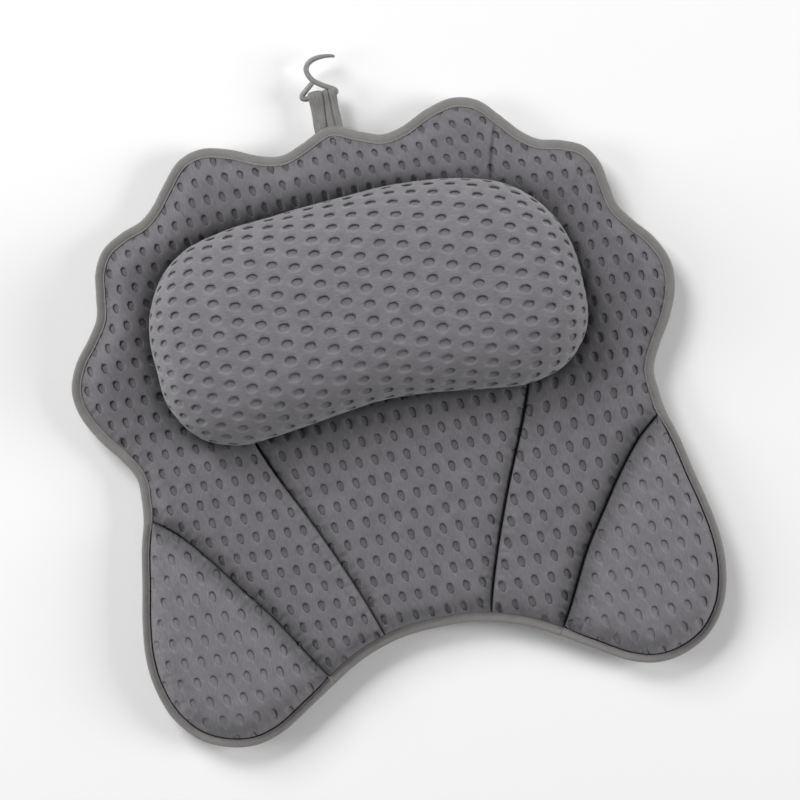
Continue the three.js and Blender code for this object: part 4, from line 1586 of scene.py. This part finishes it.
@dataclass
class EdgeBinding(Sewn):
    """The tape folded over the edge, in four lengths."""

    tape: bpy.types.Material
    stitched_tape: bpy.types.Material
    roll: float = 2.4
    pucker: float = 0.2

    LIP: ClassVar[tuple[Pair, ...]] = (
        (3.0, 0.0), (3.6, -0.03), (4.3, -0.14), (5.0, -0.36), (5.4, -0.56), (5.7, -0.5), (6.1, -0.42), (6.45, -0.56),
        (6.65, -1.1), (6.55, -1.5), (4.6, -1.8), (3.2, -1.7), (1.9, -1.9),
    )

    def section(self) -> Array:
        """The tape's closed section: a rounded roll at the edge, and on each face a groove and a stitched lip.

        Returns:
            Distances inwards and heights, in rows.
        """
        low, high = self.heights.tape_floor, self.heights.tape_top
        middle = (low + high) / 2
        turn = np.linspace(-math.pi / 2, math.pi / 2, 19)
        flat = np.sign(np.sin(turn)) * np.abs(np.sin(turn)) ** 0.62
        inwards = self.roll - self.roll * np.abs(np.cos(turn)) ** 0.8
        roll = np.stack([inwards, middle + flat * (high - low) / 2], axis=1)
        lip = np.array(self.LIP)
        fold = [[self.lines.tape_skin, middle]]
        return np.concatenate([roll, lip + (0, high), fold, (lip * (1, -1) + (0, low))[::-1]])

    def length_of(self, first: int, last: int) -> Surface:
        """The tape from one point of the edge to another: the section at each point, along the edge's normal.

        Its cloth coordinates are the length along the edge from the middle of the top, and the distance inwards, less
        than 0 at the back.

        Args:
            first: the number of the edge's first point.
            last: the number of its last point, which may go on past the edge's start.
        Returns:
            The closed shell.
        """
        k = self.lines
        section = self.section()
        width = k.along_edge(*k.tape_widths) / max(inward for inward, _ in self.LIP)
        lines = [np.column_stack([inset(k.edge, inward * width), np.full(len(k.edge), z)]) for inward, z in section]
        index = np.arange(first, last + 1) % len(k.edge)
        whole = run_of(np.concatenate([k.edge, k.edge[:1]]))
        along = np.minimum(whole[index], whole[-1] - whole[index])
        face = np.sign(section[:, 1] - self.heights.edge_middle)
        wave = ripple(along, 9, 41)[:, None] * smoothstep(2.0, 5.0, section[None, :, 0])
        rings = k.drift.moved(np.stack(lines, axis=1)[index])
        rings[..., 2] += self.pucker * wave * face
        cloth = np.stack(np.broadcast_arrays(along[:, None], (section[:, 0] * face)[None]), axis=2)
        return ring_surface(rings, cloth)

    def build(self) -> None:
        """The four lengths of tape, of which the crest's shows its stitches."""
        k, whole = self.lines, len(self.lines.edge)
        lengths = {
            "crest_tape": (whole - k.waist, whole + k.waist, "crest_binding", "mat"),
            "hem_tape": (k.corner, whole - k.corner, "hem_binding", "mat"),
            "right_wing_tape": (k.waist, k.corner, "right_wing_binding", Side.RIGHT),
            "left_wing_tape": (whole - k.corner, whole - k.waist, "left_wing_binding", Side.LEFT),
        }
        for name, (first, last, node, carrier) in lengths.items():
            material = self.stitched_tape if name == "crest_tape" else self.tape
            piece = make_piece(name, self.length_of(first, last), material)
            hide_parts(node)
            if isinstance(carrier, Side):
                bend_at_fold(piece)
            else:
                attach(piece, carrier)


@dataclass
class BackCloth(Sewn):
    """The plain cloth that closes the mat's back, with a hole for each eyelet."""

    cloth: bpy.types.Material
    thickness: float = 1.6
    lift: float = 0.15
    sag: float = 0.9
    hole: float = 6.9
    mat_past_fold: float = 0.8
    wing_past_fold: float = 1.1

    def sheet(self, outline: Array, middle: Array, holes: Array, rings: int) -> tuple[Surface, float]:
        """A flat sheet inside an outline, with round holes.

        The plan is middle + t * (outline - middle). A point nearer to a hole's middle than its radius moves out to
        that radius, and the faces left inside the hole go. Away from the holes and the outline the sheet sags by sag
        times (0.4 + a product of two ripples).

        Args:
            outline: the sheet's closed outline.
            middle: a point from which the whole outline can be seen.
            holes: the holes' middles.
            rings: how many rings the sheet has.
        Returns:
            The closed sheet, and its area in square millimetres.
        """
        t = np.linspace(0.02, 1.0, rings)[:, None, None]
        points = (middle + t * (outline - middle)[None]).reshape(-1, 2)
        inside = np.zeros(len(points), bool)
        for hole in holes:
            off = points - hole
            far = np.linalg.norm(off, axis=1)
            held = far < self.hole
            inside |= held
            points = np.where(held[:, None], hole + off * (self.hole / np.maximum(far, 1e-6))[:, None], points)
        away = nearest(points, outline[::4])[0]
        near_hole = np.min([np.linalg.norm(points - hole, axis=1) for hole in holes], axis=0)
        calm = smoothstep(11, 22, near_hole) * smoothstep(3, 14, away)
        sag = self.sag * calm * (0.4 + ripple(points[:, 0], 43, 51) * ripple(points[:, 1], 39, 52))
        lain = self.lines.drift.moved(points, smoothstep(11, 34, near_hole))
        height = self.heights.back_floor + self.lift - sag
        top = np.column_stack([lain, height + self.thickness])
        under = np.column_stack([lain, height])
        count, around = len(points), len(outline)
        quads = grid_faces(rings, around, wraps=True)
        quads = quads[~inside[quads].all(axis=1)]
        rim = np.arange(count - around, count)
        walls = np.stack([rim, np.roll(rim, -1), np.roll(rim, -1) + count, rim + count], axis=1)
        caps = [list(range(around))[::-1], (np.arange(around) + count).tolist()]
        lips = self.hole_edges(quads, inside)
        lips = np.column_stack([lips[:, 1], lips[:, 0], lips[:, 0] + count, lips[:, 1] + count])
        faces = quads.tolist() + (quads[:, ::-1] + count).tolist() + walls[:, ::-1].tolist() + lips.tolist() + caps
        closed = outline[:, 0] @ np.roll(outline[:, 1], -1) - outline[:, 1] @ np.roll(outline[:, 0], -1)
        area = abs(closed) / 2 - len(holes) * math.pi * self.hole ** 2
        return Surface(np.concatenate([top, under]), faces, np.concatenate([points, points])), float(area)

    @staticmethod
    def hole_edges(quads: Array, inside: Array) -> Array:
        """The sheet's edges round its holes: those that only one face uses.

        Args:
            quads: the sheet's faces.
            inside: whether each point has been moved out to a hole's edge.
        Returns:
            The edges, each as two numbers, run as in their face.
        """
        edges = np.concatenate([quads[:, [k, (k + 1) % 4]] for k in range(4)])
        _, first, uses = np.unique(np.sort(edges, axis=1), axis=0, return_index=True, return_counts=True)
        open_edges = edges[first[uses == 1]]
        return open_edges[inside[open_edges].all(axis=1)]

    def declare(self, piece: bpy.types.Object, outline: Array, area: float, rests_on: str) -> None:
        """Does nothing; the sheet's size is not declared.

        Args:
            piece: the sheet; not used.
            outline: its outline in the plan; not used.
            area: its area in square millimetres; not used.
            rests_on: the piece that it lies against; not used.
        """

    def build(self, holes: dict[str, Array]) -> None:
        """The back of the mat and of each wing.

        Args:
            holes: the middles of the holes in each of them.
        """
        k = self.lines
        seam = k.fold + FOLD_NORMAL * self.mat_past_fold
        right = np.concatenate([k.cloth_edge[:k.waist], seam, k.cloth_edge[k.corner:k.hem + 1]])
        outline = np.concatenate([right, mirrored(right)[1:-1]])
        outline = evenly(np.concatenate([outline, outline[:1]]), 520)[:-1]
        surface, area = self.sheet(outline, np.array([0.0, 5.0]), holes["mat"], 56)
        piece = make_piece("mat_back", surface, self.cloth)
        self.declare(piece, outline, area, "mat_front")
        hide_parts("back_cover")
        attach(piece, "mat")
        for side in Side:
            inner = k.fold[::-1] + FOLD_NORMAL * self.wing_past_fold
            outline = np.concatenate([k.cloth_edge[k.waist + 2:k.corner - 1], inner[1:-1]])
            outline = evenly(np.concatenate([outline, outline[:1]]), 300)[:-1] * (side.value, 1)
            middle = np.array([139.0 * side.value, -150.0])
            surface, area = self.sheet(outline, middle, holes[side.word], 34)
            piece = make_piece(f"{side.word}_wing_rear", surface, self.cloth)
            self.declare(piece, outline, area, f"{side.word}_wing_front")
            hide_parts(f"{side.word}_wing_back")
            bend_at_fold(piece)


@dataclass
class SuctionCups(Sewn):
    """Six suction cups with pull tabs, each held by its head in an eyelet."""

    rubber: bpy.types.Material
    plastic: bpy.types.Material
    tab_x: float = 29.6
    turns: int = 72

    PLACES: ClassVar[dict[str, Pair]] = {"upper": (0.45, 0.82), "side": (0.68, -0.015), "wing": (0.7, -0.724)}

    def place(self, row: str, side: Side) -> Array:
        """The middle of one cup."""
        return self.lines.on_mat([self.PLACES[row]])[0] * (side.value, 1)

    def cup(self) -> Surface:
        """A cup at the origin: a thin bell with a hollow face, a neck and a round head, and a rounded pull tab.

        The tab's outline is the 0.5th power of a turn's cosine and the 0.6th power of its sine, with their signs, and
        each of its levels is a height and a share of that outline.

        Returns:
            The cup's two shells.
        """
        bell = smooth_through(np.array([[0.6, 4.6], [7, 4.3], [14, 3.2], [20, 1.6], [24.5, 0.25], [26.6, 0.0]]), 5)
        rim = np.array([[27.3, 0.12], [27.5, 0.55], [27.2, 1.0]])
        back = smooth_through(np.array([[26.2, 1.25], [22, 2.4], [17, 4.4], [12.5, 6.8], [9.8, 8.5], [9.0, 9.0]]), 5)
        neck = np.array([[8.2, 9.0], [5.4, 9.0], [5.0, 9.35], [5.0, 14.2], [5.4, 14.6], [7.2, 14.65]])
        turn = np.linspace(0, math.pi / 2, 7)
        head = np.stack([5.0 + 2.6 * np.cos(turn), 15.4 + 2.6 * np.sin(turn)], axis=1)
        profile = np.concatenate([bell, rim, back, neck, head, [[0.6, 18.0]]])
        body = ring_surface(lathe(profile, self.turns))
        turn = np.linspace(0, 2 * math.pi, 49)[:-1]
        x, y = (np.sign(wave) * np.abs(wave) ** power for wave, power in ((np.cos(turn), 0.5), (np.sin(turn), 0.6)))
        outline = np.column_stack([x, y]) * (5.8, 5.5)
        levels = [(0.2, 0.9), (0.28, 1.0), (0.95, 1.0), (1.1, 0.93), (1.1, 0.76), (0.75, 0.66), (0.75, 0.4)]
        rings = [np.column_stack([outline * size + (self.tab_x, 0), np.full(len(turn), z)]) for z, size in levels]
        return Surface.joined([body, ring_surface(np.stack(rings))])

    def eyelet(self) -> Surface:
        """An eyelet at the origin: a barrel through the cloth between two rounded flanges.

        Returns:
            Its shell, a ring that is open in the middle.
        """
        profile = np.array([
            [5.3, 9.5], [5.5, 9.3], [9.6, 9.3], [10.0, 9.6], [9.9, 10.1], [9.2, 10.5], [6.7, 10.5], [6.7, 13.1],
            [9.2, 13.1], [9.9, 13.4], [10.0, 13.9], [9.6, 14.3], [5.5, 14.3], [5.3, 14.1], [5.3, 9.5],
        ])
        surface = ring_surface(lathe(profile, self.turns))
        del surface.faces[-2:]
        return surface

    def build(self) -> dict[str, Array]:
        """All cups and eyelets.

        Returns:
            The places of the holes in each back cloth.
        """
        holes: dict[str, list[Array]] = {"mat": [], "left": [], "right": []}
        for row in self.PLACES:
            for side in Side:
                at = self.place(row, side)
                holes[side.word if row == "wing" else "mat"].append(at)
                angle = math.atan2(-(at[1] - self.lines.shift_y), -at[0])
                turn = np.array([[math.cos(angle), math.sin(angle)], [-math.sin(angle), math.cos(angle)]])
                name = f"{row}_{side.word}"
                carrier = f"{side.word}_wing" if row == "wing" else "mat"
                for kind, surface, material, slot, body, merge in (
                    ("suction_cup", self.cup(), self.rubber, "cup_rubber", f"cup_{name}", 0.0),
                    ("eyelet", self.eyelet(), self.plastic, "eyelet_plastic", carrier, 0.005),
                ):
                    surface.points[:, :2] = surface.points[:, :2] @ turn + at
                    piece = make_piece(f"{kind}_{name}_form", surface, material, merge)
                    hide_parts(f"{kind}_{name}")
                    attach(piece, body)
        return {key: np.array(value) for key, value in holes.items()}


@dataclass
class Hanger(Sewn):
    """The webbing loop at the top, and the hook that swings in it."""

    webbing: bpy.types.Material
    plastic: bpy.types.Material
    root_y: float = 168.90
    bar_y: float = 188.90
    middle_x: float = -0.55
    tape: float = 1.0
    half_width: float = 9.4
    sewn_in: float = 5.5
    hook_x: float = -0.9
    eye_width: float = 24.9
    hook_height: float = 26.8
    wire: float = 1.75
    tip_share: float = 0.62
    tip_length: float = 16.0

    ARM: ClassVar[tuple[Pair, ...]] = (
        (0.578, 0.868), (0.454, 0.905), (0.321, 0.925), (0.189, 0.93), (0.052, 0.918), (-0.076, 0.88), (-0.177, 0.81),
        (-0.233, 0.715), (-0.229, 0.602), (-0.181, 0.487), (-0.1, 0.385), (0.012, 0.3), (0.129, 0.225), (0.245, 0.16),
        (0.345, 0.105), (0.405, 0.05), (0.4, 0.005), (0.36, 0), (0.3, 0),
    )
    EYE: ClassVar[tuple[Pair, ...]] = (
        (0.36, 0), (0.3, 0), (-0.3, 0), (-0.41, 0), (-0.49, 0.035), (-0.48, 0.1), (-0.37, 0.19), (-0.13, 0.37),
    )

    @staticmethod
    def splits(up: Array) -> tuple[Array, Array]:
        """Where the webbing's two grooves lie, as shares of its half width, at some shares of its height."""
        return -0.08 + 0.13 * up, 0.5 - 0.05 * up

    def folds(self, v: Array, up: Array) -> Array:
        """How far the webbing stands out across its width: one broad fold beside two narrow ones.

        Each fold is its height times the root of 4 * share * (1 - share), a half ellipse.

        Args:
            v: places across the webbing, from -1 to 1.
            up: shares of the way up it.
        Returns:
            How far it stands out at each place.
        """
        first, second = self.splits(up)
        total = np.zeros(np.broadcast_shapes(v.shape, up.shape))
        for low, high, height in ((-1.0 + 0 * up, first, 1.5), (first, second, 1.0), (second, 1.0 + 0 * up, 1.2)):
            share = np.clip((v - low) / (high - low), 0, 1)
            total = np.where((v >= low) & (v <= high), height * np.sqrt(np.clip(4 * share * (1 - share), 0, 1)), total)
        return total

    def grooves(self, v: Array, up: Array) -> Array:
        """How deep in a groove between two folds each place lies, from 0 to 1: the webbing's painted shade."""
        first, second = self.splits(up)
        return np.exp(-((v - first) / 0.055) ** 2) + 0.7 * np.exp(-((v - second) / 0.045) ** 2)

    def build_loop(self) -> None:
        """The webbing: a folded strip that goes up from under the tape, round the bar and down again."""
        z = self.heights.edge_middle
        inner = self.wire + 0.3
        turn = np.linspace(-math.pi / 2, math.pi / 2, 15)
        bend = np.stack([self.bar_y + inner * np.cos(turn), inner * np.sin(turn)], axis=1)
        sewn, root, bar = self.root_y - self.sewn_in, self.root_y, self.bar_y
        rise = np.array([[sewn, 0.12], [root - 1, 0.12], [root + 4, 0.12], [bar - 9, 0.14], [bar - 5, 0.6]])
        path = smooth_through(np.concatenate([rise * (1, -1), bend, rise[::-1]]), 3)
        way = np.gradient(path, axis=0)
        way /= np.linalg.norm(way, axis=1, keepdims=True)
        out = np.stack([way[:, 1], -way[:, 0]], axis=1)
        v = np.linspace(-1, 1, 81)[None]
        up = np.clip((path[:, :1] - self.root_y) / (self.bar_y - self.root_y), 0, 1)
        neck = 1 - 0.04 * np.exp(-((up - 0.55) / 0.25) ** 2)
        x = self.middle_x + 0.5 * up + v * self.half_width * neck
        outer_face = path[:, None] + out[:, None] * (0.5 * self.tape + self.folds(v, up))[..., None]
        inner_face = np.broadcast_to(path[:, None] + out[:, None] * 0.05, outer_face.shape)
        front = np.stack([x, outer_face[..., 0], z + outer_face[..., 1]], axis=2)
        rear = np.stack([x, inner_face[..., 0], z + inner_face[..., 1]], axis=2)[:, ::-1]
        rings = np.concatenate([front, rear], axis=1)
        cloth = np.stack(np.broadcast_arrays(run_of(path)[:, None], rings[..., 0]), axis=2)
        surface = ring_surface(rings, cloth)
        groove = np.broadcast_to(self.grooves(v, up), front.shape[:2])
        # the grooves' depth becomes painted shade in the webbing's colour
        surface.crease = np.concatenate([groove, np.zeros(groove.shape)], axis=1).ravel()
        piece = make_piece("webbing_loop", surface, self.webbing)
        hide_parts("hanging_loop")
        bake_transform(piece)

    def wire_of(self, shares: Sequence[Pair], tip_first: bool) -> Surface:
        """A wire along some shares of the eye's width and the hook's height, with round ends.

        Args:
            shares: the line's points.
            tip_first: whether it starts at the hook's tip, where it is thinner.
        Returns:
            The closed shell.
        """
        points = np.array(shares) * (self.eye_width, self.hook_height) + (self.hook_x, self.bar_y)
        path = evenly(smooth_through(points, 12), 150)
        run = run_of(path)
        steps = 7
        places, ends = rounded_ends(run[-1], self.wire, steps)
        inner = np.linspace(places[steps - 1], places[steps], 110)[1:-1]
        along = np.concatenate([places[:steps], inner, places[steps:]])
        scale = np.concatenate([ends[:steps], np.ones(len(inner)), ends[steps:]])
        path = at_shares(path, along / run[-1])
        radius = self.wire * scale
        if tip_first:
            radius = radius * (self.tip_share + (1 - self.tip_share) * smoothstep(0, self.tip_length, along))
        path = np.column_stack([path, np.full(len(path), self.heights.edge_middle)])
        return ring_surface(tube(path, radius))

    def build_hook(self) -> None:
        """The hook: its arm from the tip to the bar, and its eye from the bar back to the stem."""
        wires = [self.wire_of(self.ARM, True), self.wire_of(self.EYE, False)]
        piece = make_piece("wire_hook", Surface.joined(wires), self.plastic)
        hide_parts("hook")
        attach(piece, "hook")


@dataclass(frozen=True)
class Lamp:
    """A square soft light: how far right, up and over the object it hangs in the picture, its size and its power."""

    name: str
    right: float
    up: float
    height: float
    size: float
    power: float


@dataclass
class Studio:
    """The floor, the lights and the camera."""

    view_width: float = 521.3
    middle: Pair = (7.0, -16.15)
    turn: float = 12.35
    lens: float = 150.0
    sensor: float = 36.0
    focus: float = 0.018
    sky: float = 0.14
    floor_half: float = 6.0
    white_from: Pair = (0.4, 1.6)
    lamps: tuple[Lamp, ...] = (
        Lamp("upper_left", -1.7, 2.0, 2.2, 1.5, 79.0),
        Lamp("right", 3.0, 0.0, 1.6, 1.5, 68.0),
        Lamp("left", -3.0, 0.0, 1.6, 1.5, 42.0),
    )

    def build_floor(self) -> None:
        """A wide pale floor under the cups, which turns plain white far from the object."""
        mesh = bpy.data.meshes.new("floor")
        corners = [(x * self.floor_half, y * self.floor_half, 0) for x, y in ((-1, -1), (1, -1), (1, 1), (-1, 1))]
        mesh.from_pydata(corners, [], [(0, 1, 2, 3)])
        floor = bpy.data.objects.new("floor", mesh)
        bpy.context.collection.objects.link(floor)
        n = Nodes("pale_floor")
        n.shader.inputs["Base Color"].default_value = (0.97, 0.97, 0.97, 1)
        n.shader.inputs["Roughness"].default_value = 1.0
        n.shader.inputs["Specular IOR Level"].default_value = 0.0
        away = n.vector("LENGTH", n.add("NewGeometry", {}).outputs["Position"], out="Value")
        share = n.math("MULTIPLY", n.ranged(away, *self.white_from, 0.0, 1.0, smooth=True), self.seen(n.tree))
        white = n.add("Emission", {"Color": (1, 1, 1, 1), "Strength": 1.0}).outputs[0]
        mixed = n.add("MixShader", {0: share, 1: n.shader.outputs[0], 2: white}).outputs[0]
        n.tree.links.new(mixed, n.output.inputs["Surface"])
        mesh.materials.append(n.material)

    @staticmethod
    def seen(tree: bpy.types.NodeTree) -> Socket:
        """1 where the camera sees the background, straight on or by gloss or glass, and 0 where it gives light.

        Args:
            tree: the nodes to add to.
        Returns:
            The greatest of the three kinds of ray.
        """
        path = tree.nodes.new("ShaderNodeLightPath")
        total = path.outputs["Is Camera Ray"]
        for kind in ("Is Glossy Ray", "Is Transmission Ray"):
            either = tree.nodes.new("ShaderNodeMath")
            either.operation = "MAXIMUM"
            tree.links.new(total, either.inputs[0])
            tree.links.new(path.outputs[kind], either.inputs[1])
            total = either.outputs[0]
        return total

    def up(self) -> Vector:
        """The picture's upward direction in the plan."""
        turn = math.radians(self.turn)
        return Vector((math.sin(turn), math.cos(turn), 0))

    def hang(self, lamp: Lamp) -> None:
        """Make one lamp, placed in the picture's own directions and aimed at the object.

        Args:
            lamp: the lamp.
        """
        light = bpy.data.lights.new(lamp.name, "AREA")
        light.energy, light.size = lamp.power, lamp.size
        hung = bpy.data.objects.new(lamp.name, light)
        bpy.context.collection.objects.link(hung)
        across = self.up().cross(Vector((0, 0, 1)))
        hung.location = across * lamp.right + self.up() * lamp.up + Vector((0, 0, lamp.height))
        hung.rotation_euler = (-hung.location).to_track_quat("-Z", "Y").to_euler()

    def build_lights(self) -> None:
        """Three soft lamps, from the upper left and from both sides, and a weak even sky."""
        for lamp in self.lamps:
            self.hang(lamp)
        world = bpy.data.worlds.new("sky")
        world.use_nodes = True
        background = world.node_tree.nodes["Background"]
        background.inputs["Color"].default_value = (1, 1, 1, 1)
        strength = world.node_tree.nodes.new("ShaderNodeMapRange")
        strength.inputs["To Min"].default_value = self.sky
        world.node_tree.links.new(self.seen(world.node_tree), strength.inputs["Value"])
        world.node_tree.links.new(strength.outputs[0], background.inputs["Strength"])
        bpy.context.scene.world = world

    def build_camera(self) -> None:
        """The camera straight above, turned as the photograph is, which shows view_width at the focus height."""
        data = bpy.data.cameras.new("camera")
        data.lens, data.sensor_width = self.lens, self.sensor
        camera = bpy.data.objects.new("camera", data)
        bpy.context.collection.objects.link(camera)
        height = self.lens / self.sensor * self.view_width * MM + self.focus
        up = self.up()
        back = Vector((0, 0, 1))
        turn = Matrix((up.cross(back), up, back)).transposed().to_4x4()
        place = Matrix.Translation((self.middle[0] * MM, self.middle[1] * MM, height))
        camera.matrix_world = place @ turn
        data.clip_start, data.clip_end = 0.05, 20
        bpy.context.scene.camera = camera
        bpy.context.scene.view_settings.view_transform = "Standard"


def main() -> None:
    """Build the studio and every piece."""
    logging.basicConfig(level=logging.INFO, format="%(relativeCreated)6d ms  %(message)s")
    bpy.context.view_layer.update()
    studio = Studio()
    studio.build_camera()
    studio.build_lights()
    studio.build_floor()

    lines, heights = MatLines(), Heights()
    wadding = WADDING.make()
    quilted = QuiltedMat(lines, heights, MAT_MESH.make(), WING_MESH.make(), wadding, MAT_DIMPLES, WING_DIMPLES)
    quilted.build_front()
    for side in Side:
        quilted.build_wing(side)
    quilted.build_wadding()
    neck = NeckPillow(lines, heights, PILLOW_MESH.make(), wadding, PILLOW_DIMPLES)
    neck.build_cover()
    neck.build_filling()
    EdgeBinding(lines, heights, TAPE.make(), STITCHED_TAPE.make()).build()
    holes = SuctionCups(lines, heights, CUP_RUBBER.make(), EYELET_PLASTIC.make()).build()
    BackCloth(lines, heights, BACK_MESH.make()).build(holes)
    hanger = Hanger(lines, heights, WEBBING.make(), HOOK_PLASTIC.make())
    hanger.build_loop()
    hanger.build_hook()


if __name__ == "__main__":
    main()
